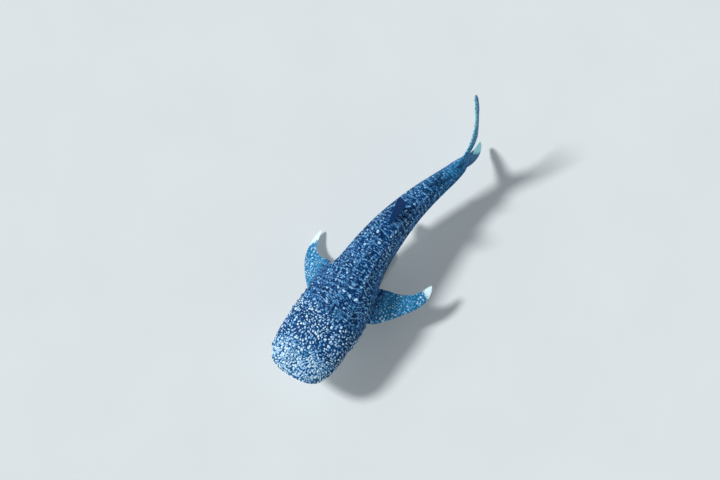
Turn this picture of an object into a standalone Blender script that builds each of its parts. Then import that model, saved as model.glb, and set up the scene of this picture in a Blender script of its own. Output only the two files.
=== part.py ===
"""A life-size museum model of a swimming whale shark, held over a flat base by two short rods.

Metres, +Z up. The origin is the centre of the base's underside, the snout points to -Y and the
shark's left side is +X. Places on the animal are given as (s, side, rise): s is the distance from
the snout along the bent body axis, side is to the shark's left and rise is above the axis.
"""

import math

import bmesh
import bpy
import numpy as np

# ---- the whole animal
AXIS_HEIGHT = 1.10          # the body axis over the floor
SNOUT_TO_ORIGIN = 2.34      # the base's centre lies this far behind the snout
AXIS_SHIFT = -0.09          # the head's axis lies this far to the right of the base's centre
SEAM = 0.0003               # the gap between neighbouring pieces
SWELL = 0.00039             # how far the cutting copies of the body stand outside its skin
EDGE = 0.006                # the thickness of a fin's trailing edge

# ---- the swimming pose: the path's turn in degrees to the left of straight back, along s
HEADINGS = [
    (0.00, 0.0), (0.75, 0.4), (1.20, 3.4), (1.70, 0.6), (2.30, 0.3), (2.80, 2.2), (3.30, 6.0),
    (3.75, 9.0), (4.20, 12.8), (4.65, 17.0), (5.05, 19.4), (5.35, 19.3), (5.60, 14.1), (5.85, 3.6),
    (6.10, -9.1), (6.40, -23.4), (6.75, -32.0), (7.00, -32.5),
]

# ---- the body's sections: s, half width, back over axis, belly under axis, level of the widest point
SECTIONS = [
    (0.00, 0.715, 0.250, 0.270, 0.000),
    (0.50, 0.715, 0.330, 0.370, -0.020),
    (0.95, 0.722, 0.400, 0.450, -0.050),
    (1.40, 0.725, 0.455, 0.510, -0.080),
    (1.80, 0.690, 0.495, 0.550, -0.090),
    (2.20, 0.600, 0.525, 0.570, -0.080),
    (2.65, 0.485, 0.545, 0.565, -0.050),
    (3.10, 0.430, 0.545, 0.525, -0.030),
    (3.60, 0.375, 0.500, 0.460, 0.000),
    (4.10, 0.314, 0.420, 0.375, 0.010),
    (4.60, 0.254, 0.335, 0.290, 0.010),
    (5.10, 0.194, 0.255, 0.210, 0.000),
    (5.45, 0.154, 0.212, 0.165, 0.000),
    (5.75, 0.108, 0.180, 0.137, 0.000),
    (5.90, 0.070, 0.145, 0.108, 0.000),
    (6.00, 0.032, 0.090, 0.066, 0.000),
    (6.04, 0.008, 0.030, 0.022, 0.000),
]
SQUARENESS = 2.3            # the sections' superellipse power
SNOUT_PLAN = (0.95, 2.9)    # how far back the snout rounds off, and how bluntly, seen from above
SNOUT_SIDE = (0.42, 2.7)    # the same seen from the side

# ---- the mouth
MOUTH_HALF_WIDTH, MOUTH_HALF_GAP = 0.56, 0.008
GROOVE_DEPTH = 0.045
LIP_HEIGHT, LIP_PLACE, LIP_SPREAD = 0.014, 0.075, 0.05
MOUTH_RINGS = (0.0, 0.02, 0.045, 0.075, 0.11, 0.16, 0.24, 0.34, 0.45, 0.57, 0.69, 0.80, 0.90, 0.97)
FRONT_END = 0.95            # the rings around the mouth become upright sections here
JAW_END = 0.66
JAW_DROP = 0.004            # the jaw's seam runs this far under the axis, in the groove
BEYOND = (-2.0, -4.0, -1.0) # a corner below, in front and to the right of the whole head

# ---- ridges along each flank: angle, first and last s, height at the front, height at the tail
RIDGE_WIDTH = 0.045
RIDGE_ENDS = (0.50, 0.35)   # the ridges fade in and out over these lengths
RIDGE_GROWTH = (3.0, 5.4)   # and change from their front height to their tail height between these places
RIDGES = [
    (90.0, 1.10, 3.60, 0.016, 0.010),
    (60.0, 1.05, 4.90, 0.018, 0.012),
    (31.0, 1.15, 5.30, 0.020, 0.014),
    (2.0, 1.95, 6.00, 0.016, 0.042),
]

# ---- gill slits: place of each, lowest and highest angle
GILLS = [(1.20, -40, 24), (1.36, -41, 24), (1.52, -41, 23), (1.67, -38, 22), (1.86, -13, 20)]
GILL_FLAP = 0.018           # a flap's rear edge stands this proud
GILL_DEPTH = 0.030          # and the slit behind it is this deep
GILL_BOW = 0.060            # the slits' ends lie this far behind their middle
GILL_FIRST = 0.14           # the first flap begins this far in front of its slit
FLAP_START = 0.03           # and the others this far behind the slit before
SLIT_PLACE = (-0.008, 0.004, 0.022)    # a slit's front, its deepest place and its half width, from its flap
GILL_ENDS = (9.0, 7.0)      # the slits' lower and upper ends fade out over these angles
GILL_REGION = (1.02, 1.12, 1.88, 2.12)
GILL_TOP = (30.0, 60.0)     # the bow fades to nothing between these angles

# ---- where the body is parted
CUTS = {
    "head": (None, 1.755), "trunk_front": (1.755, 2.95), "trunk_rear": (2.95, 4.45), "tail_stalk": (4.45, 6.04),
}
RING_GAP = 0.105            # the distance between plain sections
STALK_END = 5.80            # plain sections end here
TIP_RINGS = (5.86, 5.92, 5.965, 6.00, 6.025)    # closer ones follow to the end
GILL_RINGS = (-0.085, -0.014, 0.004, 0.030)     # and these lie round each gill slit
BEHIND_GILLS = (1.94, 2.02)
HALF_ANGLES = (
    90, 84, 77, 70, 65, 60, 55, 48, 41, 36, 31, 26, 19, 12, 7, 2, -3, -10, -20, -31, -43, -55, -67, -79, -90,
)

# ---- the head's small forms
EYE_PLACE = (0.37, 0.045)   # s, and rise over the axis
EYE_RADIUS = 0.033
EYE_SUNK = 0.010            # the eyeball's centre under the skin
ORBIT_RADIUS, ORBIT_TUBE = 0.044, 0.014
SPIRACLE_PLACE = (0.49, 0.060)
SPIRACLE_SIZE = (0.030, 0.022, 0.018)
NOSTRIL_SIDE, NOSTRIL_RISE = 0.44, 0.055
NOSTRIL_SIZE = (0.034, 0.020, 0.015)
BARBEL_LENGTH, BARBEL_RADIUS = 0.060, 0.016

# ---- fins: rows from root to tip, each (leading edge, trailing edge, thickness)
# Upright fins: rise of the row, s of its leading edge, s of its trailing edge, thickness.
DORSAL_FIRST = [
    (0.36, 3.62, 4.08, 0.120),
    (0.47, 3.51, 4.13, 0.110),
    (0.53, 3.60, 4.19, 0.088),
    (0.59, 3.655, 4.25, 0.072),
    (0.66, 3.705, 4.17, 0.062),
    (0.78, 3.78, 4.13, 0.050),
    (0.90, 3.86, 4.105, 0.038),
    (0.985, 3.905, 4.070, 0.028),
    (1.045, 3.950, 4.055, 0.018),
    (1.075, 3.985, 4.038, 0.010),
]
DORSAL_SECOND = [
    (0.20, 4.90, 5.10, 0.060),
    (0.29, 4.81, 5.15, 0.052),
    (0.335, 4.86, 5.25, 0.036),
    (0.385, 4.92, 5.20, 0.030),
    (0.450, 4.995, 5.175, 0.023),
    (0.515, 5.07, 5.17, 0.016),
    (0.560, 5.125, 5.17, 0.009),
]
ANAL = [
    (-0.13, 5.00, 5.18, 0.050),
    (-0.215, 4.92, 5.22, 0.044),
    (-0.265, 4.97, 5.31, 0.032),
    (-0.320, 5.03, 5.26, 0.026),
    (-0.390, 5.11, 5.24, 0.019),
    (-0.455, 5.185, 5.235, 0.010),
]
DORSAL_LEAN = (-0.14, 0.50)  # the first dorsal leans left by this share of its height over this rise
CAUDAL_UPPER = [
    (SEAM / 2, 5.80, 6.060, 0.105),
    (0.08, 5.68, 6.075, 0.100),
    (0.155, 5.56, 6.100, 0.092),
    (0.20, 5.47, 6.125, 0.086),
    (0.26, 5.62, 6.160, 0.078),
    (0.34, 5.745, 6.210, 0.070),
    (0.50, 5.910, 6.310, 0.058),
    (0.75, 6.130, 6.455, 0.050),
    (1.00, 6.345, 6.595, 0.042),
    (1.20, 6.515, 6.700, 0.034),
    (1.36, 6.655, 6.775, 0.024),
    (1.43, 6.725, 6.800, 0.012),
]
CAUDAL_LOWER = [
    (-SEAM / 2, 5.80, 6.060, 0.105),
    (-0.07, 5.70, 6.080, 0.098),
    (-0.135, 5.58, 6.115, 0.088),
    (-0.175, 5.62, 6.150, 0.078),
    (-0.24, 5.735, 6.210, 0.068),
    (-0.34, 5.870, 6.300, 0.056),
    (-0.48, 6.025, 6.425, 0.044),
    (-0.62, 6.175, 6.535, 0.034),
    (-0.74, 6.305, 6.605, 0.026),
    (-0.83, 6.410, 6.630, 0.018),
    (-0.88, 6.490, 6.630, 0.012),
]
UPPER_LEAD = (5.42, 0.92)   # s of the upper lobe's front edge at rise 0, and how much s it gains with rise
UPPER_TWIST = 0.20          # the upper lobe leans left by this share of the distance from its front edge
UPPER_FREE = (0.15, 0.30)   # rise where this lean sets in, and over how much more rise it grows
UPPER_TIP = (0.95, 0.80, 0.14)    # over this rise the share grows by this per metre, and the tip leans right
LOWER_LEAN = (0.28, 0.08)   # the lower lobe leans left by this share of its depth below this
# Paired fins: the leading edge's out and back from the root point, the trailing edge's, thickness.
PECTORAL = [
    (-0.34, 0.05, -0.34, 0.52, 0.150),
    (-0.16, 0.00, -0.18, 0.58, 0.145),
    (0.00, -0.01, -0.02, 0.74, 0.125),
    (0.18, 0.04, 0.14, 0.800, 0.105),
    (0.40, 0.22, 0.34, 0.835, 0.086),
    (0.60, 0.415, 0.49, 0.890, 0.068),
    (0.78, 0.61, 0.62, 0.960, 0.053),
    (0.91, 0.79, 0.71, 1.035, 0.041),
    (0.985, 0.96, 0.775, 1.125, 0.031),
    (1.018, 1.12, 0.835, 1.228, 0.023),
    (1.010, 1.29, 0.885, 1.345, 0.015),
    (0.980, 1.42, 0.925, 1.440, 0.009),
]
PECTORAL_ROOT = (1.79, 0.625, -0.30)    # s, side and rise of the root's leading end
PECTORAL_POSE = {"left": (20.0, 6.5, 5.0), "right": (50.0, -6.5, 1.0)}    # droop, sweep and pitch in degrees
PECTORAL_CURL = 0.10                    # how far the tips bend up, for each square metre
PELVIC = [
    (-0.14, 0.04, -0.14, 0.25, 0.075),
    (-0.02, -0.02, -0.02, 0.30, 0.062),
    (0.06, 0.05, 0.04, 0.40, 0.046),
    (0.15, 0.15, 0.11, 0.41, 0.034),
    (0.225, 0.26, 0.185, 0.425, 0.023),
    (0.280, 0.36, 0.250, 0.450, 0.012),
]
PELVIC_ROOT = (3.72, 0.155, -0.385)
PELVIC_POSE = (68.0, 8.0, 0.0)
CHORD_STEPS = (0.0, 0.02, 0.09, 0.24, 0.48, 0.75, 1.0)

# ---- the stand
BASE_LENGTH, BASE_WIDTH, BASE_THICK = 2.50, 0.64, 0.05
BASE_CORNER, BASE_BEVEL = 0.12, 0.008
ROD_RADIUS = 0.035
ROD_PLACES = {"stand_rod_front": 1.50, "stand_rod_rear": 3.15}
ROD_SIDES = 32
ROD_BITE = 0.12             # how far an uncut rod reaches into the belly

# ---- paint: colour, roughness, metallic
PAINTS = {
    "skin": ((0.045, 0.085, 0.17), 0.45, 0.0),
    "eye": ((0.01, 0.01, 0.012), 0.10, 0.0),
    "stand": ((0.30, 0.31, 0.32), 0.45, 0.6),
}


def smoothstep(x):
    x = np.clip(x, 0.0, 1.0)
    return x * x * (3 - 2 * x)


def curve_through(places, values):
    """A smooth curve through the values, with the slope at each place read from its neighbours."""
    places = np.asarray(places, float)
    values = np.asarray(values, float)
    slopes = np.gradient(values, places)

    def at(x):
        x = np.clip(x, places[0], places[-1])
        i = np.clip(np.searchsorted(places, x) - 1, 0, len(places) - 2)
        step = places[i + 1] - places[i]
        t = (x - places[i]) / step
        rise = (1 + 2 * t) * (1 - t) ** 2 * values[i] + t * t * (3 - 2 * t) * values[i + 1]
        return rise + step * (t * (1 - t) ** 2 * slopes[i] + t * t * (t - 1) * slopes[i + 1])

    return at


def snout(s, reach, power):
    """0 at the snout's tip and 1 from reach onwards, as a superellipse rounds off."""
    ahead = 1 - np.clip(s / reach, 0.0, 1.0)
    return np.maximum(1 - ahead**power, 0.0) ** (1 / power)


STATIONS, WIDTHS, BACKS, BELLIES, LEVELS = np.array(SECTIONS).T
width_at = curve_through(STATIONS, WIDTHS)
back_at = curve_through(STATIONS, BACKS)
belly_at = curve_through(STATIONS, BELLIES)
level_at = curve_through(STATIONS, LEVELS)


def half_sizes(s):
    """Half width, height over the widest level and depth under it."""
    side_on = snout(s, *SNOUT_SIDE)
    width = width_at(s) * snout(s, *SNOUT_PLAN)
    return width, (back_at(s) - level_at(s)) * side_on, (belly_at(s) + level_at(s)) * side_on


def heading(s):
    """The path's turn to the shark's left of straight back, at s."""
    return np.radians(turn_at(s))


turn_at = curve_through(*np.array(HEADINGS).T)
PATH_S = np.linspace(0.0, HEADINGS[-1][0], 1401)
PATH_STEP = PATH_S[1] - PATH_S[0]
PATH_X = np.concatenate([[0.0], np.cumsum(np.sin(heading(PATH_S[:-1] + PATH_STEP / 2)))]) * PATH_STEP
PATH_Y = np.concatenate([[0.0], np.cumsum(np.cos(heading(PATH_S[:-1] + PATH_STEP / 2)))]) * PATH_STEP


def place(s, side, rise):
    """World points, as an array with a last axis of 3."""
    s, side, rise = np.broadcast_arrays(s, side, rise)
    turn = heading(s)
    x = AXIS_SHIFT + np.interp(s, PATH_S, PATH_X) + side * np.cos(turn)
    y = np.interp(s, PATH_S, PATH_Y) - SNOUT_TO_ORIGIN - side * np.sin(turn)
    return np.stack([x, y, AXIS_HEIGHT + rise], axis=-1)


def section(s, angle):
    """Side, and rise over the widest level, of the smooth body at s and angle."""
    width, over, under = half_sizes(s)
    across, up = np.cos(angle), np.sin(angle)
    power = 2 / SQUARENESS
    height = np.where(up >= 0, over, under)
    return width * np.sign(across) * np.abs(across) ** power, height * np.sign(up) * np.abs(up) ** power


def station_of(side, rise):
    """The s at which the snout's section passes through this side and rise over the widest level."""
    near = np.full(np.shape(side), 1e-6)
    far = np.full(np.shape(side), FRONT_END)
    for _ in range(40):
        middle = (near + far) / 2
        width, over, under = half_sizes(middle)
        height = np.where(rise >= 0, over, under)
        outside = (np.abs(side) / width) ** SQUARENESS + (np.abs(rise) / height) ** SQUARENESS > 1
        near = np.where(outside, middle, near)
        far = np.where(outside, far, middle)
    return (near + far) / 2


def ring_angles():
    right = [180 - a for a in reversed(HALF_ANGLES[1:-1])]
    return np.radians(np.array([*HALF_ANGLES[::-1], *right[::-1]], float))


def upright_stations():
    """The s of each upright ring, closer together at the gills, with a pair at each cut."""
    found = [*np.arange(FRONT_END, STALK_END, RING_GAP), *TIP_RINGS]
    keep_from, keep_to = GILLS[0][0] - 0.10, GILLS[-1][0] + 0.10
    found = [s for s in found if not keep_from < s < keep_to]
    found += [at + offset for at, _, _ in GILLS for offset in GILL_RINGS]
    found += BEHIND_GILLS
    cuts = [stop for _, stop in CUTS.values()][:-1]
    found = [s for s in found if all(abs(s - cut) > 0.03 for cut in cuts)]
    for cut in cuts:
        found += [cut - SEAM / 2, cut + SEAM / 2]
    return np.array(sorted({*found, STATIONS[-1]}))


def gill_bow(s, angle):
    """How far back the gill slits' ends lie, fading to nothing before and behind the gills."""
    start, full, last, stop = GILL_REGION
    share = smoothstep((s - start) / (full - start)) * smoothstep((stop - s) / (stop - last))
    turned = np.degrees(np.arctan2(np.sin(angle), np.abs(np.cos(angle))))
    share = share * smoothstep((GILL_TOP[1] - turned) / (GILL_TOP[1] - GILL_TOP[0]))
    return GILL_BOW * share * np.clip(((turned + 8) / 40) ** 2, 0, 1.6)


def relief(s, angle):
    """The height of the ridges and gill flaps over the smooth body."""
    lift = np.zeros(np.broadcast(s, angle).shape)
    turned = np.degrees(np.arctan2(np.sin(angle), np.abs(np.cos(angle))))
    width, over, _ = half_sizes(s)
    spread = np.degrees(RIDGE_WIDTH / np.clip((width + over) / 2, 0.15, None))
    for at, start, stop, front, rear in RIDGES:
        share = smoothstep((s - start) / RIDGE_ENDS[0]) * smoothstep((stop - s) / RIDGE_ENDS[1])
        grown = smoothstep((s - RIDGE_GROWTH[0]) / (RIDGE_GROWTH[1] - RIDGE_GROWTH[0]))
        height = front + (rear - front) * grown
        lift += share * height * np.exp(-(((turned - at) / spread) ** 2))
    opens, deepest, half = SLIT_PLACE
    for i, (at, low, high) in enumerate(GILLS):
        before = GILLS[i - 1][0] + FLAP_START if i else at - GILL_FIRST
        ramp = np.where((s > before) & (s < at), ((s - before) / (at - before)).clip(0, 1) ** 1.5, 0)
        slit = np.clip(1 - np.abs(s - at - deepest) / half, 0, 1) * (s > at + opens)
        share = smoothstep((turned - low) / GILL_ENDS[0]) * smoothstep((high - turned) / GILL_ENDS[1])
        lift += share * (GILL_FLAP * ramp - GILL_DEPTH * slit)
    return lift


def crossed(along, around):
    across = np.cross(along, around)
    return across / np.maximum(np.linalg.norm(across, axis=-1, keepdims=True), 1e-9)


def outward(points):
    """Unit normals of a grid whose rows are rings, running from the mouth backwards."""
    around = np.roll(points, -1, axis=1) - np.roll(points, 1, axis=1)
    return crossed(np.gradient(points, axis=0), around)


def upright_ring(s, angle):
    """Points of the smooth body behind the snout, with the gill slits' bow."""
    side, rise = section(s, angle)
    return place(s + gill_bow(s, angle), side, rise + level_at(s))


def body_grid(swell=0.0):
    """(s of each upright ring, points) of the whole body, pushed out by swell."""
    angles = ring_angles()
    end_side, end_rise = section(np.full_like(angles, FRONT_END), angles)
    share = np.array(MOUTH_RINGS)[:, None]
    side = (1 - share) * MOUTH_HALF_WIDTH * np.cos(angles) + share * end_side
    rise = (1 - share) * MOUTH_HALF_GAP * np.sin(angles) + share * end_rise
    s = station_of(side, rise)
    front = place(s, side, rise + level_at(s))
    lip = LIP_HEIGHT * np.exp(-(((share - LIP_PLACE) / LIP_SPREAD) ** 2)) * (share > 0.03)
    stations = upright_stations()
    at = stations[:, None]
    rear = upright_ring(at, angles)
    points = np.concatenate([front, rear])
    normals = outward(points)
    step = 0.002
    around = upright_ring(at, angles + step) - upright_ring(at, angles - step)
    normals[len(front) :] = crossed(upright_ring(at + step, angles) - upright_ring(at - step, angles), around)
    lift = np.concatenate([np.broadcast_to(lip, front.shape[:2]), relief(at, angles)])
    points = points + normals * (lift + swell)[..., None]
    inward = place(FRONT_END, 0.0, 0.0) - points[0]
    points[0] += inward / np.linalg.norm(inward, axis=-1, keepdims=True) * (GROOVE_DEPTH - swell)
    return stations, points


def new_object(name, vertices, faces, paint):
    mesh = bpy.data.meshes.new(name)
    mesh.from_pydata([tuple(v) for v in vertices], [], [tuple(f) for f in faces])
    shell = bmesh.new()
    shell.from_mesh(mesh)
    bmesh.ops.remove_doubles(shell, verts=shell.verts, dist=1e-5)
    bmesh.ops.dissolve_degenerate(shell, edges=shell.edges, dist=1e-6)
    bmesh.ops.recalc_face_normals(shell, faces=shell.faces)
    shell.to_mesh(mesh)
    shell.free()
    mesh.materials.append(paint)
    mesh.shade_smooth()
    mesh.set_sharp_from_angle(angle=math.radians(40))
    obj = bpy.data.objects.new(name, mesh)
    bpy.context.scene.collection.objects.link(obj)
    return obj


def loft(name, rings, paint, close_start=True, close_end=True):
    """A closed surface through rings of equal length, with a fan over each open end."""
    rings = np.asarray(rings)
    rows, columns = rings.shape[:2]
    vertices = list(rings.reshape(-1, 3))
    faces = []
    for i in range(rows - 1):
        for j in range(columns):
            k = (j + 1) % columns
            a, b, c, d = i * columns + j, i * columns + k, (i + 1) * columns + k, (i + 1) * columns + j
            faces += [(a, b, c), (a, c, d)]
    for row, wanted in ((0, close_start), (rows - 1, close_end)):
        if wanted:
            centre = len(vertices)
            vertices.append(rings[row].mean(axis=0))
            faces += [(row * columns + j, row * columns + (j + 1) % columns, centre) for j in range(columns)]
    return new_object(name, vertices, faces, paint)


def combined(target, operation, pieces):
    """Applies one Boolean between the target and all the pieces, which are then removed."""
    group = bpy.data.collections.new("pieces")
    bpy.context.scene.collection.children.link(group)
    for piece in pieces:
        bpy.context.scene.collection.objects.unlink(piece)
        group.objects.link(piece)
    change = target.modifiers.new("join", "BOOLEAN")
    change.operation = operation
    change.solver = "EXACT"
    change.operand_type = "COLLECTION"
    change.collection = group
    graph = bpy.context.evaluated_depsgraph_get()
    made = bpy.data.meshes.new_from_object(target.evaluated_get(graph))
    target.modifiers.remove(change)
    target.data = made
    for piece in pieces:
        bpy.data.objects.remove(piece)
    bpy.data.collections.remove(group)
    keep_largest(target)
    return target


def keep_largest(obj):
    """Drops every loose shell but the one with the most faces."""
    shell = bmesh.new()
    shell.from_mesh(obj.data)
    left, groups = set(shell.verts), []
    while left:
        group, edge = set(), [next(iter(left))]
        while edge:
            vertex = edge.pop()
            if vertex in group:
                continue
            group.add(vertex)
            edge += [e.other_vert(vertex) for e in vertex.link_edges]
        left -= group
        groups.append(group)
    largest = max(groups, key=len)
    spare = [v for v in shell.verts if v not in largest]
    bmesh.ops.delete(shell, geom=spare, context="VERTS")
    bmesh.ops.triangulate(shell, faces=shell.faces)
    shell.to_mesh(obj.data)
    shell.free()


def box(name, low, high, paint):
    corners = [(x, y, z) for x in (low[0], high[0]) for y in (low[1], high[1]) for z in (low[2], high[2])]
    faces = [(0, 1, 3, 2), (4, 6, 7, 5), (0, 4, 5, 1), (2, 3, 7, 6), (0, 2, 6, 4), (1, 5, 7, 3)]
    return new_object(name, corners, faces, paint)


def frame_on_skin(side_sign, s, rise):
    """(point, outward, back, up) on the head's flank, at s and this rise over the axis."""
    width, over, under = half_sizes(s)
    height = rise - level_at(s)
    share = np.abs(height) / (over if height >= 0 else under)
    side = width * (1 - share**SQUARENESS) ** (1 / SQUARENESS)
    step = 0.01
    point = place(s, side_sign * side, rise)
    ahead = skin_side(s + step, rise)
    above = skin_side(s, rise + step)
    back = place(s + step, side_sign * ahead, rise) - point
    up = place(s, side_sign * above, rise + step) - point
    normal = np.cross(back, up) * side_sign
    normal /= np.linalg.norm(normal)
    back /= np.linalg.norm(back)
    return point, normal, back, np.cross(normal, back)


def skin_side(s, rise):
    width, over, under = half_sizes(s)
    height = rise - level_at(s)
    share = np.abs(height) / (over if height >= 0 else under)
    return width * max(1 - share**SQUARENESS, 0.0) ** (1 / SQUARENESS)


def frame_on_snout(side, rise):
    """(point, outward, across, up) on the front of the snout."""
    step = 0.01
    point, beside, above = (
        place(station_of(x, z), x, z + level_at(station_of(x, z)))
        for x, z in ((side, rise), (side + step, rise), (side, rise + step))
    )
    across, up = beside - point, above - point
    normal = np.cross(across, up)
    normal /= np.linalg.norm(normal)
    across /= np.linalg.norm(across)
    return point, normal, across, np.cross(normal, across)


def ellipsoid(name, centre, axes, sizes, paint, rows=8, columns=14):
    """A closed ellipsoid with its three half sizes along the three unit axes."""
    lifts = np.linspace(-math.pi / 2, math.pi / 2, rows + 1)[1:-1]
    turns = np.arange(columns) * 2 * math.pi / columns
    lift, turn = np.meshgrid(lifts, turns, indexing="ij")
    local = np.stack([np.cos(lift) * np.cos(turn), np.cos(lift) * np.sin(turn), np.sin(lift)], axis=-1)
    rings = centre + (local * np.asarray(sizes)) @ np.asarray(axes)
    poles = [centre - axes[2] * sizes[2], centre + axes[2] * sizes[2]]
    closed = np.concatenate([[np.tile(poles[0], (columns, 1))], rings, [np.tile(poles[1], (columns, 1))]])
    return loft(name, closed, paint, close_start=False, close_end=False)


def ring_tube(name, centre, axes, radius, tube, paint, columns=18, sides=6):
    """A closed torus round the third axis."""
    turns = np.arange(columns + 1) * 2 * math.pi / columns
    rounds = np.arange(sides) * 2 * math.pi / sides
    turn, around = np.meshgrid(turns, rounds, indexing="ij")
    reach = radius + tube * np.cos(around)
    local = np.stack([reach * np.cos(turn), reach * np.sin(turn), tube * np.sin(around)], axis=-1)
    return loft(name, centre + local @ np.asarray(axes), paint, close_start=False, close_end=False)


def chord_section(lead, trail, thick):
    """Chord share and half thickness round one fin section, from the leading edge and back to it."""
    share = np.array(CHORD_STEPS)
    half = 5 * thick * (0.2969 * np.sqrt(share) - 0.126 * share - 0.3516 * share**2
                        + 0.2843 * share**3 - 0.1015 * share**4)
    chord = math.hypot(*(np.subtract(trail, lead)))
    half = np.maximum(half, np.minimum(EDGE / 2, 0.1 * chord) * (share > 0))
    return np.concatenate([share, share[:0:-1]]), np.concatenate([half, -half[:0:-1]])


def fin(name, rows, where, paint):
    """A fin through its rows. where(a, b, n) gives the world point of an outline point and an offset."""
    rings = []
    for lead, trail, thick in rows:
        share, half = chord_section(lead, trail, thick)
        a = lead[0] + (trail[0] - lead[0]) * share
        b = lead[1] + (trail[1] - lead[1]) * share
        rings.append(where(a, b, half))
    return loft(name, rings, paint)


def tail_lean(s, rise):
    """How far the tail fin lies to the left of the path: the upper lobe's rear edge trails behind its
    front edge in the stroke, and the whole lower lobe leans over."""
    (start, gain), (low, grown), (tip, more, right) = UPPER_LEAD, UPPER_FREE, UPPER_TIP
    over = np.clip(rise - tip, 0, None)
    behind = np.clip(s - start - gain * rise, 0, None)
    upper = (UPPER_TWIST + more * over) * behind * smoothstep((rise - low) / grown) - right * over
    share, below = LOWER_LEAN
    return upper + share * np.clip(-rise - below, 0, None)


def dorsal_lean(s, rise):
    """How far the first dorsal fin lies to the left of the path."""
    share, above = DORSAL_LEAN
    return share * np.clip(rise - above, 0, None)


def no_lean(s, rise):
    return 0.0


def upright_fin(name, rows, lean, paint):
    """A fin on the middle line: its rows run along the body's path at one rise each."""
    outline = [((start, rise), (stop, rise), thick) for rise, start, stop, thick in rows]
    return fin(name, outline, lambda s, rise, n: place(s, n + lean(s, rise), rise), paint)


def paired_fin(name, rows, root, pose, curl, sign, paint):
    """A fin on one flank: turned back by sweep, leaning down by droop, its rear raised by pitch."""
    outline = [((out_a, back_a), (out_b, back_b), thick) for out_a, back_a, out_b, back_b, thick in rows]
    droop, sweep, pitch = np.radians(pose)

    def where(out, back, n):
        reach = out * math.cos(sweep) - back * math.sin(sweep)
        trail = out * math.sin(sweep) + back * math.cos(sweep)
        side = root[1] + reach * math.cos(droop) + n * math.sin(droop)
        lift = trail * math.sin(pitch) + curl * np.clip(reach, 0, None) ** 2
        rise = root[2] - reach * math.sin(droop) + n * math.cos(droop) + lift
        return place(root[0] + trail * math.cos(pitch), sign * side, rise)

    return fin(name, outline, where, paint)


def head_and_jaw(grid, last, paints):
    """The cranium with its orbits, spiracles and nostrils, the jaw under it, and the eyes."""
    skin = paints["skin"]
    front = grid[: last + 1]
    head = loft("head", front, skin)
    jaw = loft("lower_jaw", front, skin)
    split = AXIS_HEIGHT - JAW_DROP
    behind = JAW_END - SNOUT_TO_ORIGIN
    combined(jaw, "INTERSECT", [box("keep", BEYOND, (-BEYOND[0], behind - SEAM, split - SEAM), skin)])
    added, removed = [], [box("jaw_room", BEYOND, (-BEYOND[0], behind, split), skin)]
    for sign in (1, -1):
        point, normal, back, up = frame_on_skin(sign, *EYE_PLACE)
        axes = (back, up, normal)
        added.append(ring_tube("orbit", point, axes, ORBIT_RADIUS, ORBIT_TUBE, skin))
        centre = point - normal * EYE_SUNK
        grown = EYE_RADIUS + SEAM
        removed.append(ellipsoid("socket", centre, axes, (grown,) * 3, skin, 12, 20))
        name = "eye_left" if sign > 0 else "eye_right"
        ellipsoid(name, centre, axes, (EYE_RADIUS,) * 3, paints["eye"], 12, 20)
        point, normal, back, up = frame_on_skin(sign, *SPIRACLE_PLACE)
        removed.append(ellipsoid("spiracle", point, (back, up, normal), SPIRACLE_SIZE, skin))
        point, normal, across, up = frame_on_snout(sign * NOSTRIL_SIDE, NOSTRIL_RISE)
        removed.append(ellipsoid("nostril", point, (across, up, normal), NOSTRIL_SIZE, skin))
        inner = point - across * sign * NOSTRIL_SIZE[0] * 0.8 - up * BARBEL_LENGTH * 0.25
        sizes = (BARBEL_RADIUS, BARBEL_LENGTH / 2, BARBEL_RADIUS)
        added.append(ellipsoid("barbel", inner, (across, up, normal), sizes, skin))
    combined(head, "UNION", added)
    combined(head, "DIFFERENCE", removed)


def seated(obj, body_parts):
    """Cuts the object back to the gap that it keeps from the body."""
    return combined(obj, "DIFFERENCE", body_parts)


def stand(swollen_trunk, paint):
    half_x, half_y = BASE_WIDTH / 2, BASE_LENGTH / 2
    outline = []
    for cx, cy, start in ((1, 1, 0), (-1, 1, 90), (-1, -1, 180), (1, -1, 270)):
        for turn in np.radians(np.linspace(start, start + 90, 9)):
            x = cx * (half_x - BASE_CORNER) + BASE_CORNER * math.cos(turn)
            y = cy * (half_y - BASE_CORNER) + BASE_CORNER * math.sin(turn)
            outline.append((x, y))
    outline = np.array(outline)
    shrink = 1 - BASE_BEVEL / np.array([half_x, half_y])
    levels = ((0.0, 1.0), (BASE_THICK - BASE_BEVEL, 1.0), (BASE_THICK, shrink))
    rings = [np.column_stack([outline * scale, np.full(len(outline), z)]) for z, scale in levels]
    loft("stand_base", rings, paint)
    turns = np.arange(ROD_SIDES) * 2 * math.pi / ROD_SIDES
    circle = np.column_stack([np.cos(turns), np.sin(turns)]) * ROD_RADIUS
    for name, s in ROD_PLACES.items():
        middle = place(s, 0.0, 0.0)[:2]
        top = AXIS_HEIGHT - belly_at(s) + ROD_BITE
        levels = (BASE_THICK + SEAM, top)
        rings = [np.column_stack([circle + middle, np.full(ROD_SIDES, z)]) for z in levels]
        seated(loft(name, rings, paint), swollen_trunk(s))


def make_paints():
    made = {}
    for name, (colour, roughness, metallic) in PAINTS.items():
        paint = bpy.data.materials.new(name)
        paint.use_nodes = True
        shader = paint.node_tree.nodes["Principled BSDF"]
        shader.inputs["Base Color"].default_value = (*colour, 1)
        shader.inputs["Roughness"].default_value = roughness
        shader.inputs["Metallic"].default_value = metallic
        made[name] = paint
    return made


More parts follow.
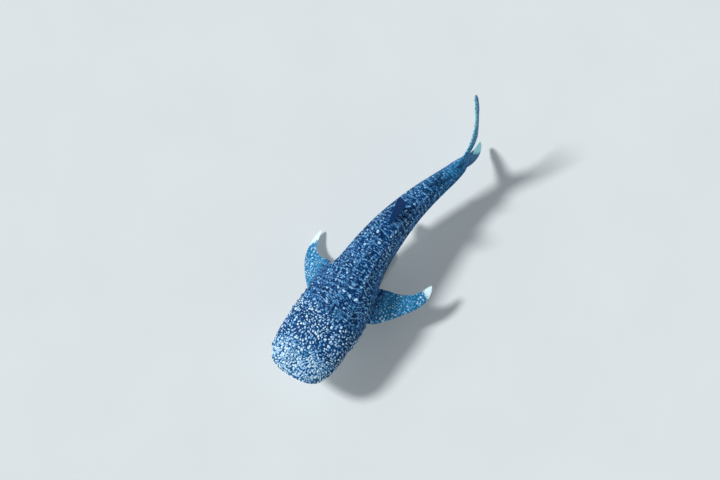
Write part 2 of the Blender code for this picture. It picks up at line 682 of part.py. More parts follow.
def main():
    for obj in list(bpy.data.objects):
        bpy.data.objects.remove(obj)
    paints = make_paints()
    skin = paints["skin"]
    stations, grid = body_grid()
    _, swollen = body_grid(SWELL)
    front_rows = len(MOUTH_RINGS)

    def rows_between(start, stop):
        first = 0 if start is None else front_rows + int(np.argmin(abs(stations - start - SEAM / 2)))
        edge = SEAM / 2 if stop < stations[-1] else 0.0
        return first, front_rows + int(np.argmin(abs(stations - stop + edge)))

    for name, (start, stop) in CUTS.items():
        first, last = rows_between(start, stop)
        if name == "head":
            head_and_jaw(grid, last, paints)
        else:
            loft(name, grid[first : last + 1], skin)

    def room(name):
        """The swollen copy of one length of the body, a little longer at both ends."""
        first, last = rows_between(*CUTS[name])
        return loft("room", swollen[max(first - 1, 0) : last + 2], skin)

    def rooms_at(s):
        return [room(next(n for n, (_, stop) in CUTS.items() if s < stop))]

    for sign, flank in ((1, "left"), (-1, "right")):
        made = paired_fin(f"pectoral_fin_{flank}", PECTORAL, PECTORAL_ROOT, PECTORAL_POSE[flank],
                          PECTORAL_CURL, sign, skin)
        seated(made, rooms_at(1.7) + rooms_at(2.0))
        made = paired_fin(f"pelvic_fin_{flank}", PELVIC, PELVIC_ROOT, PELVIC_POSE, 0.0, sign, skin)
        seated(made, rooms_at(3.8))
    upright_fins = {
        "dorsal_fin_first": (DORSAL_FIRST, 3.8, dorsal_lean),
        "dorsal_fin_second": (DORSAL_SECOND, 5.0, no_lean),
        "anal_fin": (ANAL, 5.0, no_lean),
        "caudal_fin_upper": (CAUDAL_UPPER, 5.8, tail_lean),
        "caudal_fin_lower": (CAUDAL_LOWER, 5.8, tail_lean),
    }
    for name, (rows, s, lean) in upright_fins.items():
        seated(upright_fin(name, rows, lean, skin), rooms_at(s))
    stand(rooms_at, paints["stand"])


main()
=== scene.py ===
import math
from functools import partial

import bmesh
import bpy
import numpy as np
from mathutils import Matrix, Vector
from mathutils.bvhtree import BVHTree


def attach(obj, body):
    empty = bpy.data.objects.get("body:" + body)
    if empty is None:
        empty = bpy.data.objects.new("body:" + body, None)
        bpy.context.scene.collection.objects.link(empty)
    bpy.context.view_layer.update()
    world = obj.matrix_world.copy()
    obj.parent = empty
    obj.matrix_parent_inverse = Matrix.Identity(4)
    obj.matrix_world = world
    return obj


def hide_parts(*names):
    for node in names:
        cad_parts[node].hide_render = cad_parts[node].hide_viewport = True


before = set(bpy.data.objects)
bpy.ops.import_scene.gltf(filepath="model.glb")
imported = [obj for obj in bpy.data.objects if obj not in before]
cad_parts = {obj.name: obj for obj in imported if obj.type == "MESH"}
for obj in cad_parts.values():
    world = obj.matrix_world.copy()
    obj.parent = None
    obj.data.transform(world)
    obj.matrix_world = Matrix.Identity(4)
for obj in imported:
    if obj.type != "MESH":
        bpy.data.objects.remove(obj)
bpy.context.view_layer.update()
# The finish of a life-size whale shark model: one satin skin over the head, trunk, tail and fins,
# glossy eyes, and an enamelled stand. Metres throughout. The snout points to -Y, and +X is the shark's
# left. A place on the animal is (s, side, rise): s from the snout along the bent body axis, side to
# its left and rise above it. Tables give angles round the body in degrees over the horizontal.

# ---- size and pose, as the solids have them
AXIS_HEIGHT = 1.1  # the body axis over the floor
SNOUT_TO_ORIGIN = 2.34  # the stand's centre lies behind the snout
AXIS_SHIFT = -0.09  # the head's axis lies right of the stand's centre
PATH_POINTS = 1401
# the path's turn along s, in degrees left of straight back
HEADINGS = [
    (0.0, 0.0), (0.75, 0.4), (1.2, 3.4), (1.7, 0.6), (2.3, 0.3), (2.8, 2.2), (3.3, 6.0),
    (3.75, 9.0), (4.2, 12.8), (4.65, 17.0), (5.05, 19.4), (5.35, 19.3), (5.6, 14.1), (5.85, 3.6),
    (6.1, -9.1), (6.4, -23.4), (6.75, -32.0), (7.0, -32.5),
]
# the sections: s, half width, back over the axis, belly under it, level of the widest point
SECTIONS = [
    (0.0, 0.715, 0.25, 0.27, 0.0), (0.5, 0.715, 0.33, 0.37, -0.02), (0.95, 0.722, 0.4, 0.45, -0.05),
    (1.4, 0.725, 0.455, 0.51, -0.08), (1.8, 0.69, 0.495, 0.55, -0.09), (2.2, 0.6, 0.525, 0.57, -0.08),
    (2.65, 0.485, 0.545, 0.565, -0.05), (3.1, 0.43, 0.545, 0.525, -0.03), (3.6, 0.375, 0.5, 0.46, 0.0),
    (4.1, 0.314, 0.42, 0.375, 0.01), (4.6, 0.254, 0.335, 0.29, 0.01), (5.1, 0.194, 0.255, 0.21, 0.0),
    (5.45, 0.154, 0.212, 0.165, 0.0), (5.75, 0.108, 0.18, 0.137, 0.0), (5.9, 0.07, 0.145, 0.108, 0.0),
    (6.0, 0.032, 0.09, 0.066, 0.0), (6.04, 0.008, 0.03, 0.022, 0.0),
]
SQUARENESS = 2.3  # the sections' superellipse power
SNOUT_PLAN = (0.95, 2.9)  # how far back the snout rounds off, and how bluntly, from above
SNOUT_SIDE = (0.42, 2.7)  # the same from the side

# ---- the mouth. A bump or pit is given as height, middle and spread, in shares of the way from the
# mouth to the upright sections.
FRONT_END = 0.95  # where these start
MOUTH_HALF_WIDTH, MOUTH_HALF_GAP, GROOVE_DEPTH = 0.56, 0.006, 0.055
MOUTH_SPANS = ((0.0, 0.12, 24), (0.12, 0.56, 22), (0.56, 0.86, 28), (0.86, 1.0, 7))
LIP, FURROW, SECOND_LIP = (0.016, 0.045, 0.026), (-0.01, 0.098, 0.016), (0.007, 0.145, 0.03)
LIP_START = 0.018  # the forms are full from here on
CORNER_LOSS, CORNER_FADE = 0.75, (0.9, 0.1)  # the furrow and second lip sink at the mouth's corners

# ---- the upright rings: 28 mm apart, and under 5 mm apart at each gill slit
ANGLE_SPANS = ((-90, -14, 19), (-14, 22, 31), (22, 90, 31))  # closest at the eyes and gills
CLOSE_STEP, MORE_STEP, STEP_GROWTH = 0.0045, 0.0235, (0.03, 0.04)
LAST_STEP, LAST_RINGS = 0.004, 6  # they close up at the stalk's end

# ---- ridges along each flank: angle, first and last s, height at front and tail
RIDGES = [
    (90.0, 1.1, 3.6, 0.016, 0.01), (60.0, 1.05, 4.9, 0.02, 0.013),
    (31.0, 1.15, 5.3, 0.022, 0.015), (2.0, 1.95, 6.0, 0.018, 0.042),
]
RIDGE_WIDTH, RIDGE_POWER = 0.034, 1.6
RIDGE_ENDS, RIDGE_GROWTH = (0.5, 0.35), (3.0, 2.4)  # where they fade in and out, and change height
SLIMMEST = 0.15  # the least body radius for their width

# ---- gill slits: place, lowest and highest angle of each
GILLS = [(1.2, -40, 24), (1.36, -41, 24), (1.52, -41, 23), (1.67, -38, 22), (1.86, -13, 20)]
GILL_FLAP, FLAP_POWER = 0.02, 1.7  # a flap's height at its slit, and how steeply it gets there
GILL_FIRST, FLAP_START = 0.14, 0.03  # the first starts before its slit, the others behind the last
FLAP_LIP = (0.006, -0.008, 0.009)  # the bead along a flap's edge
# the slits' depth and cut, and the painted shade in them
GILL_DEPTH, SLIT, SLIT_FRONT, SLIT_SHADE = 0.034, (1.0, 0.01, 0.011), 0.01, (1.0, 0.008, 0.01)
GILL_ENDS = (9.0, 7.0)  # the slits' lower and upper ends fade over these angles
GILL_BOW, BOW_SHAPE = 0.06, (-8, 40, 1.6)  # the slits' ends lie further back than their middle
GILL_REGION = (1.02, 1.12, 1.88, 2.12)  # the bow sets in, is full, wanes and ends
GILL_TOP = (30.0, 60.0)  # and it fades out between these angles

# ---- small forms of the head
EYE_PLACE, EYE_RADIUS, EYE_SUNK = (0.37, 0.045), 0.033, 0.01
CORNEA = (0.002, 0.55, 4)  # the eye's clear front: how proud it is, its spread and power
# eye sockets and spiracles: place, reach, stretch, the pit's depth, edge and slope, the painted
# shade's edge and slope, and the rims
HOLLOWS = (
    (EYE_PLACE, 0.16, (1, 1, 1), (0.04, 0.0305, 0.006), (0.043, 0.01),
     ((0.017, 0.038, 0.009), (0.007, 0.066, 0.012))),
    ((0.49, 0.06), 0.09, (1, 0.75, 1), (0.03, 0.021, 0.013), (0.024, 0.01), ((0.005, 0.03, 0.008),)),
)
# the fold at the mouth's corner, by s and rise, its roll and the painted shade in it
MOUTH_CORNER = ((0.14, -0.004), (0.21, -0.012), (0.28, -0.034), (0.33, -0.062))
CORNER_FORMS, CORNER_SHADE = ((-0.016, 0.0, 0.01), (0.007, 0.024, 0.01)), (1.0, 0.0, 0.007)
# nostril and barbel by side and rise, the slit's depth and spread, what they lose to its end, its painted
# shade
NOSTRIL_PLACE = (0.44, 0.05)
NOSTRIL_SLIT = ((0.462, 0.082), (0.446, 0.06), (0.432, 0.034), (0.425, 0.01))
NOSTRIL_DEPTH, NOSTRIL_SPREAD, NOSTRIL_SHADE = (0.034, 0.016), (0.013, 0.006), (1.0, 0.0, 0.01)
BARBEL_LINE = ((0.436, 0.088), (0.418, 0.064), (0.404, 0.04), (0.4, 0.024))
BARBEL = (0.014, 0.0, 0.011)
FINE_RADIUS, FINE_CUTS = 0.08, 2  # the mesh is finer this near to eye, spiracle and nostril

# ---- fins on the middle line: rise of the row, s of its leading and trailing edge, thickness
DORSAL_FIRST = [
    (0.36, 3.62, 4.08, 0.12), (0.47, 3.51, 4.13, 0.11), (0.53, 3.6, 4.19, 0.088),
    (0.59, 3.655, 4.25, 0.072), (0.66, 3.705, 4.17, 0.062), (0.78, 3.78, 4.13, 0.05),
    (0.9, 3.86, 4.105, 0.038), (0.985, 3.905, 4.07, 0.028), (1.045, 3.95, 4.055, 0.018),
    (1.075, 3.985, 4.038, 0.01),
]
DORSAL_SECOND = [
    (0.2, 4.9, 5.1, 0.06), (0.29, 4.81, 5.15, 0.052), (0.335, 4.86, 5.25, 0.036),
    (0.385, 4.92, 5.2, 0.03), (0.45, 4.995, 5.175, 0.023), (0.515, 5.07, 5.17, 0.016),
    (0.56, 5.125, 5.17, 0.009),
]
ANAL = [
    (-0.13, 5.0, 5.18, 0.05), (-0.215, 4.92, 5.22, 0.044), (-0.265, 4.97, 5.31, 0.032),
    (-0.32, 5.03, 5.26, 0.026), (-0.39, 5.11, 5.24, 0.019), (-0.455, 5.185, 5.235, 0.01),
]
CAUDAL = [
    (-0.88, 6.49, 6.63, 0.012), (-0.83, 6.41, 6.63, 0.018), (-0.74, 6.305, 6.605, 0.026),
    (-0.62, 6.175, 6.535, 0.034), (-0.48, 6.025, 6.425, 0.044), (-0.34, 5.87, 6.3, 0.056),
    (-0.24, 5.735, 6.21, 0.068), (-0.175, 5.62, 6.15, 0.078), (-0.135, 5.58, 6.115, 0.088),
    (-0.07, 5.7, 6.08, 0.098), (0.0, 5.8, 6.06, 0.105), (0.08, 5.68, 6.075, 0.1),
    (0.155, 5.56, 6.1, 0.092), (0.2, 5.47, 6.125, 0.086), (0.26, 5.62, 6.16, 0.078),
    (0.34, 5.745, 6.21, 0.07), (0.5, 5.91, 6.31, 0.058), (0.75, 6.13, 6.455, 0.05),
    (1.0, 6.345, 6.595, 0.042), (1.2, 6.515, 6.7, 0.034), (1.36, 6.655, 6.775, 0.024),
    (1.43, 6.725, 6.8, 0.012),
]
DORSAL_LEAN = (-0.14, 0.5)  # the first dorsal leans left by this share of its height over this rise
UPPER_LEAD = (5.42, 0.92)  # the upper lobe's front edge: s at rise 0, and s gained a metre of rise
UPPER_TWIST = 0.2  # the lobe leans left by this share of the distance from that edge
UPPER_FREE = (0.15, 0.3)  # rise where this sets in, and over how much more it grows
UPPER_TIP = (0.95, 0.8, 0.14)  # over this rise the share grows by this a metre, and the tip leans right
LOWER_LEAN = (0.28, 0.08)  # the lower lobe leans left by this share of its depth below this

# ---- paired fins: the leading edge's out and back from the root point, the trailing edge's, thickness
PECTORAL = [
    (-0.34, 0.05, -0.34, 0.52, 0.15), (-0.16, 0.0, -0.18, 0.58, 0.145),
    (0.0, -0.01, -0.02, 0.74, 0.125), (0.18, 0.04, 0.14, 0.8, 0.105), (0.4, 0.22, 0.34, 0.835, 0.086),
    (0.6, 0.415, 0.49, 0.89, 0.068), (0.78, 0.61, 0.62, 0.96, 0.053), (0.91, 0.79, 0.71, 1.035, 0.041),
    (0.985, 0.96, 0.775, 1.125, 0.031), (1.018, 1.12, 0.835, 1.228, 0.023),
    (1.01, 1.29, 0.885, 1.345, 0.015), (0.98, 1.42, 0.925, 1.44, 0.009),
]
PELVIC = [
    (-0.14, 0.04, -0.14, 0.25, 0.075), (-0.02, -0.02, -0.02, 0.3, 0.062),
    (0.06, 0.05, 0.04, 0.4, 0.046), (0.15, 0.15, 0.11, 0.41, 0.034), (0.225, 0.26, 0.185, 0.425, 0.023),
    (0.28, 0.36, 0.25, 0.45, 0.012),
]
# name, rows, rings, root, each flank's droop, sweep and pitch in degrees, bend, flare at the root,
# where the pale tip sets in and is full, way round the body from the top to the root, and the coat's
# height shares at the root, further out and underneath
PAIRED_FINS = (
    ("pectoral", PECTORAL, 60, (1.79, 0.625, -0.3), {"left": (20.0, 6.5, 5.0), "right": (50.0, -6.5, 1.0)},
     0.1, 0.06, (1.34, 1.6), 1.3, (-0.15, 0.4, -0.85)),
    ("pelvic", PELVIC, 28, (3.72, 0.155, -0.385), {"left": (68.0, 8.0, 0.0), "right": (68.0, 8.0, 0.0)},
     0.0, 0.03, None, 0.75, (-0.7, 0.4, -0.85)),
)

# ---- every fin's make
CHORD_POINTS = 23  # along each face
EDGE_HALF, EDGE_SHARE, NOSE_SHARE = 0.003, 0.1, 0.02  # the rear edge's half thickness
END_RINGS, END_CHORD, ENDS = 9, 0.1, (0.0, 0.05)  # the ends' rounding, and the share rounded off
FIN_SEED, FIN_NOTCH, NOTCH_CHORD = 7, 0.004, 0.2  # notches in the rear edge
JOIN_WELD, JOIN_REACH, JOIN_ROUNDS = 0.0004, 0.022, 8  # the skin is relaxed where a fin grows from it

# ---- the pattern's layers: lie is its place in metres, marks are the coat's height share (1 on the back,
# -1 under the belly) and its tone (pale tips over 0, painted shade on the dorsal fins, the lower tail
# lobe and in the hollows under it), and zones are nearness to the snout and the ridges' share (under 0
# on the paired fins)
LAYERS = ("lie", "marks", "zones")
# pairs are where a change starts, and over what length it grows
HEAD_FADE = (0.2, 1.9)  # nearness to the snout falls off
BELLY_END, BELLY_RAISE = (4.8, 0.6), 1.3  # the white belly ends, by so much more height share
# the tone of the painted shade in gill slits, nostrils, eye sockets, spiracles and mouth corners
HOLLOW_SHADE_TONE = -1.8
ROOT_TONE = (-0.02, 0.08)  # a middle fin's tone, by distance from its root
UPRIGHT_ZONE, PAIRED_ZONE = 0.25, 0.4  # the fins' nearness to the snout
# the paired fins' own colour, and the height shares of their top and underside, by distance out
PAIRED_OUT, TOP_OUT, UNDER_OUT = (0.02, 0.25), (0.0, 0.15), (0.06, 0.2)
TAIL_TONES = (0.3, 0.32, -0.55, 1.85)  # upper lobe, painted highlight on its front edge, painted shade on the lower lobe, its pale end

# ---- spots: distance apart, least and greatest radius, soft edge, scatter, least and greatest tone.
# Strokes and combed spots are measured in cells, so many to a metre along and across.
CROWD = (0.057, (0.01, 0.0235), 0.003, 0.76, (0.48, 1.0))
COLUMNS = (0.125, (0.01, 0.026), 0.003, 0.6, (0.32, 0.86))
SPECKS = (0.034, (0.004, 0.011), 0.003, 1.0, (0.15, 0.55))
STROKES, STROKE_CELLS = (1.0, (0.1, 0.33), 0.06, 0.95, (0.18, 0.7)), (1 / 0.045, 1 / 0.1, 1.0)
COMBED, COMBED_CELLS = (1.0, (0.24, 0.45), 0.08, 0.82, (0.62, 1.0)), (1 / 0.066, 1 / 0.038, 1.0)
BAR_DISTANCE = 0.13

FLESH = ("head", "lower_jaw", "trunk_front", "trunk_rear", "tail_stalk", "pectoral_fin_left",
         "pectoral_fin_right", "pelvic_fin_left", "pelvic_fin_right", "dorsal_fin_first",
         "dorsal_fin_second", "anal_fin", "caudal_fin_upper", "caudal_fin_lower")


# ---- the body's form
def smoothstep(x):
    x = np.clip(x, 0.0, 1.0)
    return x * x * (3 - 2 * x)


def rising(x, start, length):
    """0 up to start, 1 from a length behind it, and soft between."""
    return smoothstep((x - start) / length)


def hump(x, height, middle, spread):
    """A rounded bump, or a pit where its height is under 0."""
    return height * np.exp(-(((x - middle) / spread) ** 2))


def curve_through(places, values):
    """A smooth curve through the values, its slopes read from their neighbours."""
    places = np.asarray(places, float)
    values = np.asarray(values, float)
    slopes = np.gradient(values, places, axis=0)

    def at(x):
        x = np.clip(x, places[0], places[-1])
        i = np.clip(np.searchsorted(places, x) - 1, 0, len(places) - 2)
        step = places[i + 1] - places[i]
        t = (x - places[i]) / step
        if values.ndim > 1:
            step, t = np.expand_dims(step, -1), np.expand_dims(t, -1)
        rise = (1 + 2 * t) * (1 - t) ** 2 * values[i] + t * t * (3 - 2 * t) * values[i + 1]
        return rise + step * (t * (1 - t) ** 2 * slopes[i] + t * t * (t - 1) * slopes[i + 1])

    return at


STATIONS, *PROFILES = np.array(SECTIONS).T
width_at, back_at, belly_at, level_at = (curve_through(STATIONS, profile) for profile in PROFILES)
turn_at = curve_through(*np.array(HEADINGS).T)
PATH_S = np.linspace(0.0, HEADINGS[-1][0], PATH_POINTS)
PATH_STEP = PATH_S[1] - PATH_S[0]
PATH_TURN = np.radians(turn_at(PATH_S[:-1] + PATH_STEP / 2))
PATH_X, PATH_Y = (np.concatenate([[0.0], np.cumsum(part)]) * PATH_STEP
                  for part in (np.sin(PATH_TURN), np.cos(PATH_TURN)))


def snout(s, reach, power):
    """The share of its size that the body has at s, where the snout rounds off."""
    ahead = 1 - np.clip(s / reach, 0.0, 1.0)
    return np.maximum(1 - ahead**power, 0.0) ** (1 / power)


def half_sizes(s):
    """Half width, height over the widest level and depth under it."""
    side_on = snout(s, *SNOUT_SIDE)
    width = width_at(s) * snout(s, *SNOUT_PLAN)
    return width, (back_at(s) - level_at(s)) * side_on, (belly_at(s) + level_at(s)) * side_on


def place(s, side, rise):
    """The point in space of a place on the animal."""
    s, side, rise = np.broadcast_arrays(s, side, rise)
    turn = np.radians(turn_at(s))
    x = AXIS_SHIFT + np.interp(s, PATH_S, PATH_X) + side * np.cos(turn)
    y = np.interp(s, PATH_S, PATH_Y) - SNOUT_TO_ORIGIN - side * np.sin(turn)
    return np.stack([x, y, AXIS_HEIGHT + rise], axis=-1)


def section(s, angle):
    """Side, and rise over the widest level, of the smooth body at s and an angle in radians."""
    width, over, under = half_sizes(s)
    across, up = np.cos(angle), np.sin(angle)
    power = 2 / SQUARENESS
    height = np.where(up >= 0, over, under)
    return width * np.sign(across) * np.abs(across) ** power, height * np.sign(up) * np.abs(up) ** power


def station_of(side, rise):
    """The s at which the snout passes through this side and rise over the widest level."""
    near = np.full(np.shape(side), 1e-6)
    far = np.full(np.shape(side), FRONT_END)
    for _ in range(40):  # each round halves the span
        middle = (near + far) / 2
        width, over, under = half_sizes(middle)
        height = np.where(rise >= 0, over, under)
        outside = (np.abs(side) / width) ** SQUARENESS + (np.abs(rise) / height) ** SQUARENESS > 1
        near = np.where(outside, middle, near)
        far = np.where(outside, far, middle)
    return (near + far) / 2


def turned(angle):
    """Degrees over the horizontal, alike on both flanks."""
    return np.degrees(np.arctan2(np.sin(angle), np.abs(np.cos(angle))))


def through(spans):
    """Even steps through each (start, stop, count), without the last stop."""
    return np.concatenate([np.linspace(*span)[:-1] for span in spans])


def ring_angles():
    """Angles round the body in radians, up the left flank and down the right."""
    half = np.append(through(ANGLE_SPANS), ANGLE_SPANS[-1][1])
    return np.radians(np.concatenate([half, 180 - half[-2:0:-1]]))


def upright_stations():
    """Places of the upright rings."""
    end = STATIONS[-1]
    found = [FRONT_END]
    while found[-1] < end - LAST_STEP:
        nearest = min(abs(found[-1] - at) for at, _, _ in GILLS)
        step = CLOSE_STEP + MORE_STEP * rising(nearest, *STEP_GROWTH)
        found.append(found[-1] + min(step, max((end - found[-1]) / LAST_RINGS, LAST_STEP)))
    return np.array(found[:-1] + [end])


def gill_bow(s, angle):
    """How far the rings bow back round the gills."""
    start, full, last, stop = GILL_REGION
    middle, unit, most = BOW_SHAPE
    share = smoothstep((s - start) / (full - start)) * smoothstep((stop - s) / (stop - last))
    share = share * smoothstep((GILL_TOP[1] - turned(angle)) / (GILL_TOP[1] - GILL_TOP[0]))
    return GILL_BOW * share * np.clip(((turned(angle) - middle) / unit) ** 2, 0, most)


def ridge_share(s, angle):
    """How far each ridge stands up here, as [(share, height)]."""
    width, over, _ = half_sizes(s)
    spread = np.degrees(RIDGE_WIDTH / np.clip((width + over) / 2, SLIMMEST, None))
    for at, start, stop, front, rear in RIDGES:
        share = rising(s, start, RIDGE_ENDS[0]) * smoothstep((stop - s) / RIDGE_ENDS[1])
        height = front + (rear - front) * rising(s, *RIDGE_GROWTH)
        away = (turned(angle) - at) / spread
        yield share * np.exp(-np.abs(away) ** RIDGE_POWER), height


def slit_share(up, low, high):
    """1 along a gill slit, fading out at its ends."""
    return rising(up, low, GILL_ENDS[0]) * smoothstep((high - up) / GILL_ENDS[1])


def relief(s, angle):
    """The height of the ridges and gill flaps over the smooth body."""
    lift = sum(share * height for share, height in ridge_share(s, angle))
    for i, (at, low, high) in enumerate(GILLS):
        before = GILLS[i - 1][0] + FLAP_START if i else at - GILL_FIRST
        ramp = np.where((s > before) & (s < at), ((s - before) / (at - before)).clip(0, 1) ** FLAP_POWER, 0)
        slit = hump(s - at, *SLIT) * (s > at - SLIT_FRONT)
        flap = GILL_FLAP * ramp + hump(s - at, *FLAP_LIP) - GILL_DEPTH * slit
        lift = lift + slit_share(turned(angle), low, high) * flap
    return lift


def gill_shade(s, angle):
    """Where shade is painted: 1 in the gill slits and 0 elsewhere."""
    up = turned(angle)
    return sum(slit_share(up, low, high) * hump(s - at, *SLIT_SHADE) for at, low, high in GILLS)


def mouth_relief(share, angle):
    """Lips and the furrow between them, by share of the way to the upright sections."""
    corner = 1 - CORNER_LOSS * rising(np.abs(np.cos(angle)), *CORNER_FADE)
    second = hump(share, *FURROW) + hump(share, *SECOND_LIP)
    return (hump(share, *LIP) + second * corner) * smoothstep(share / LIP_START)


def head_share(s):
    """1 at the snout, fading to 0 behind the gills."""
    return 1 - rising(s, *HEAD_FADE)


def crossed(along, around):
    across = np.cross(along, around)
    return across / np.maximum(np.linalg.norm(across, axis=-1, keepdims=True), 1e-9)


def outward(points):
    """Directions out of a surface of rings."""
    around = np.roll(points, -1, axis=1) - np.roll(points, 1, axis=1)
    return crossed(np.gradient(points, axis=0), around)


def upright_ring(s, angle):
    side, rise = section(s, angle)
    return place(s + gill_bow(s, angle), side, rise + level_at(s))


def with_wrap(values):
    """Adds the first column again after the last."""
    return np.concatenate([values, values[:, :1]], axis=1)


def layers_of(*pairs):
    """The pattern's layers, from a pair of values for each."""
    return {layer: np.stack(pair, axis=-1) for layer, pair in zip(LAYERS, pairs)}


def body_rings():
    """(points, layers) of the body from the mouth's groove to the stalk's end."""
    angles = ring_angles()
    top = int(np.argmax(angles >= math.pi / 2 - 1e-6))
    end_side, end_rise = section(np.full_like(angles, FRONT_END), angles)
    share = through(MOUTH_SPANS)[:, None]
    side = (1 - share) * MOUTH_HALF_WIDTH * np.cos(angles) + share * end_side
    rise = (1 - share) * MOUTH_HALF_GAP * np.sin(angles) + share * end_rise
    s_front = station_of(side, rise)
    front = place(s_front, side, rise + level_at(s_front))
    at = upright_stations()[:, None]
    rear = upright_ring(at, angles)
    smooth = np.concatenate([front, rear])
    s_rear = np.broadcast_to(at, rear.shape[:2])
    s_all = np.concatenate([s_front, s_rear])

    steps = np.linalg.norm(np.diff(front, axis=0, append=rear[:1]), axis=-1)
    along = np.concatenate([FRONT_END - steps[::-1].cumsum(axis=0)[::-1], s_rear])
    wrapped = with_wrap(smooth)
    reach = np.linalg.norm(np.diff(wrapped, axis=1), axis=-1)
    around = np.concatenate([np.zeros((len(wrapped), 1)), reach], axis=1).cumsum(axis=1)
    around = around[:, top : top + 1] - around

    normals = outward(smooth)
    step = 0.002
    normals[len(front) :] = crossed(
        upright_ring(at + step, angles) - upright_ring(at - step, angles),
        upright_ring(at, angles + step) - upright_ring(at, angles - step),
    )
    lift = np.concatenate([mouth_relief(share, angles) * np.ones_like(s_front), relief(at, angles)])
    points = smooth + normals * lift[..., None]
    inward = place(FRONT_END, 0.0, 0.0) - points[0]
    points[0] += inward / np.linalg.norm(inward, axis=-1, keepdims=True) * GROOVE_DEPTH

    angles = np.append(angles, angles[0] + 2 * math.pi)
    s_all = with_wrap(s_all)
    height = turned(angles) / 90 + BELLY_RAISE * rising(s_all, *BELLY_END)
    ridge = np.clip(sum(share for share, _ in ridge_share(s_all, angles)), 0, 1)
    # painted shade in the gill slits
    marks = height, HOLLOW_SHADE_TONE * gill_shade(s_all, angles)
    return points, layers_of((with_wrap(along), around), marks, (head_share(s_all), ridge))


# ---- meshes with the pattern's layers
def put(name, data):
    """A new object in the scene."""
    made = bpy.data.objects.new(name, data)
    bpy.context.scene.collection.objects.link(made)
    return made


def shell(name, points, layers):
    """A closed surface through rings of points, each end closed by a fan."""
    rows, columns = points.shape[:2]
    vertices = [tuple(p) for p in points.reshape(-1, 3)]
    faces, corners = [], []
    for i in range(rows - 1):
        for j in range(columns):
            k = (j + 1) % columns
            faces.append((i * columns + j, i * columns + k, (i + 1) * columns + k, (i + 1) * columns + j))
            corners.append(((i, j), (i, j + 1), (i + 1, j + 1), (i + 1, j)))
    for row in (0, rows - 1):
        centre = len(vertices)
        vertices.append(tuple(points[row].mean(axis=0)))
        for j in range(columns):
            faces.append((row * columns + j, row * columns + (j + 1) % columns, centre))
            corners.append(((row, j), (row, j + 1), (row, j)))
    mesh = bpy.data.meshes.new(name)
    mesh.from_pydata(vertices, [], faces)
    index = np.array([corner for face in corners for corner in face])
    for layer in LAYERS:
        made = mesh.uv_layers.new(name=layer)
        made.data.foreach_set("uv", layers[layer][index[:, 0], index[:, 1]].astype(np.float32).ravel())
    closed = bmesh.new()
    closed.from_mesh(mesh)
    bmesh.ops.recalc_face_normals(closed, faces=closed.faces)
    closed.to_mesh(mesh)
    closed.free()
    return put(name, mesh)


def tree_of(obj):
    mesh = obj.data
    return BVHTree.FromPolygons([v.co for v in mesh.vertices], [tuple(f.vertices) for f in mesh.polygons])


def chord_section(chord, thick):
    """Chord share and half thickness round one fin section, a plain aerofoil, from its front edge on."""
    share = (1 - np.cos(np.linspace(0, math.pi, CHORD_POINTS))) / 2
    half = 5 * thick * (0.2969 * np.sqrt(share) - 0.126 * share - 0.3516 * share**2
                        + 0.2843 * share**3 - 0.1015 * share**4)
    half = np.maximum(half, min(EDGE_HALF, EDGE_SHARE * chord) * smoothstep(share / NOSE_SHARE))
    return np.concatenate([share, share[-2:0:-1]]), np.concatenate([half, -half[-2:0:-1]])


def fine_rows(rows, count, ends):
    """The fin's rows drawn out to many, with the chord rounded off over the last share at each end."""
    rows = np.array(rows, float)
    if rows.shape[1] == 4:
        rows = np.column_stack([rows[:, 1], rows[:, 0], rows[:, 2], rows[:, 0], rows[:, 3]])
    middle = (rows[:, 0:2] + rows[:, 2:4]) / 2
    at = np.concatenate([[0.0], np.linalg.norm(np.diff(middle, axis=0), axis=1).cumsum()])
    first, last = ends
    rounding = np.sin(np.linspace(0, math.pi / 2, END_RINGS))
    spread = [np.linspace(first, 1 - last, count), (1 - last + last * rounding)[1:]]
    if first:
        spread.insert(0, (first * (1 - rounding))[:0:-1])
    spread = np.concatenate(spread)
    fine = curve_through(at / at[-1], rows)(spread)
    beyond = np.maximum((spread - 1 + last) / last, (first - spread) / first if first else 0).clip(0, 1)
    keep = np.maximum(np.sqrt(1 - beyond**2), END_CHORD)[:, None]
    centre = (fine[:, 0:2] + fine[:, 2:4]) / 2
    for edge in (slice(0, 2), slice(2, 4)):
        fine[:, edge] = centre + (fine[:, edge] - centre) * keep
    return fine


def fin(name, rows, count, ends, where, mark, skin_tree, flare):
    """A fin through its rows. where(a, b, n) gives the point of an outline point and an offset, and
    mark(a, b, upper) its layers. Near the body it flares out to meet the skin."""
    ripple = np.random.default_rng(FIN_SEED)
    rings, marked = [], []
    fine = fine_rows(rows, count, ends)
    notch = np.convolve(ripple.normal(0, FIN_NOTCH, len(fine) + 4), np.ones(3) / 3, "same")[2:-2]
    for row, cut in zip(fine, notch):
        lead, trail, thick = row[0:2], row[2:4], row[4]
        chord = math.dist(lead, trail)
        share, half = chord_section(chord, thick)
        trail = trail + (trail - lead) / max(chord, 1e-3) * cut * min(1.0, chord / NOTCH_CHORD)
        a, b = (lead[axis] + (trail[axis] - lead[axis]) * share for axis in (0, 1))
        rings.append(where(a, b, half))
        upper = np.arange(len(share)) < (len(share) + 1) // 2
        marked.append(mark(np.append(a, a[0]), np.append(b, b[0]), np.append(upper, False)))
    points = np.array(rings)
    normals = outward(points)
    for i, ring in enumerate(points):
        for j, point in enumerate(ring):
            near, normal, _, far = skin_tree.find_nearest(Vector(point))
            far = far if (Vector(point) - near).dot(normal) > 0 else 0.0
            if far < flare:
                points[i, j] += normals[i, j] * (flare - math.sqrt(flare**2 - (flare - far) ** 2))
    return shell(name, points, {layer: np.array([row[layer] for row in marked]) for layer in LAYERS})


# ---- fins on the middle line. A lean is how far one lies left of the path, and a look gives its height
# share and tone.
def no_lean(s, rise):
    return 0.0


def dorsal_lean(s, rise):
    share, above = DORSAL_LEAN
    return share * np.clip(rise - above, 0, None)


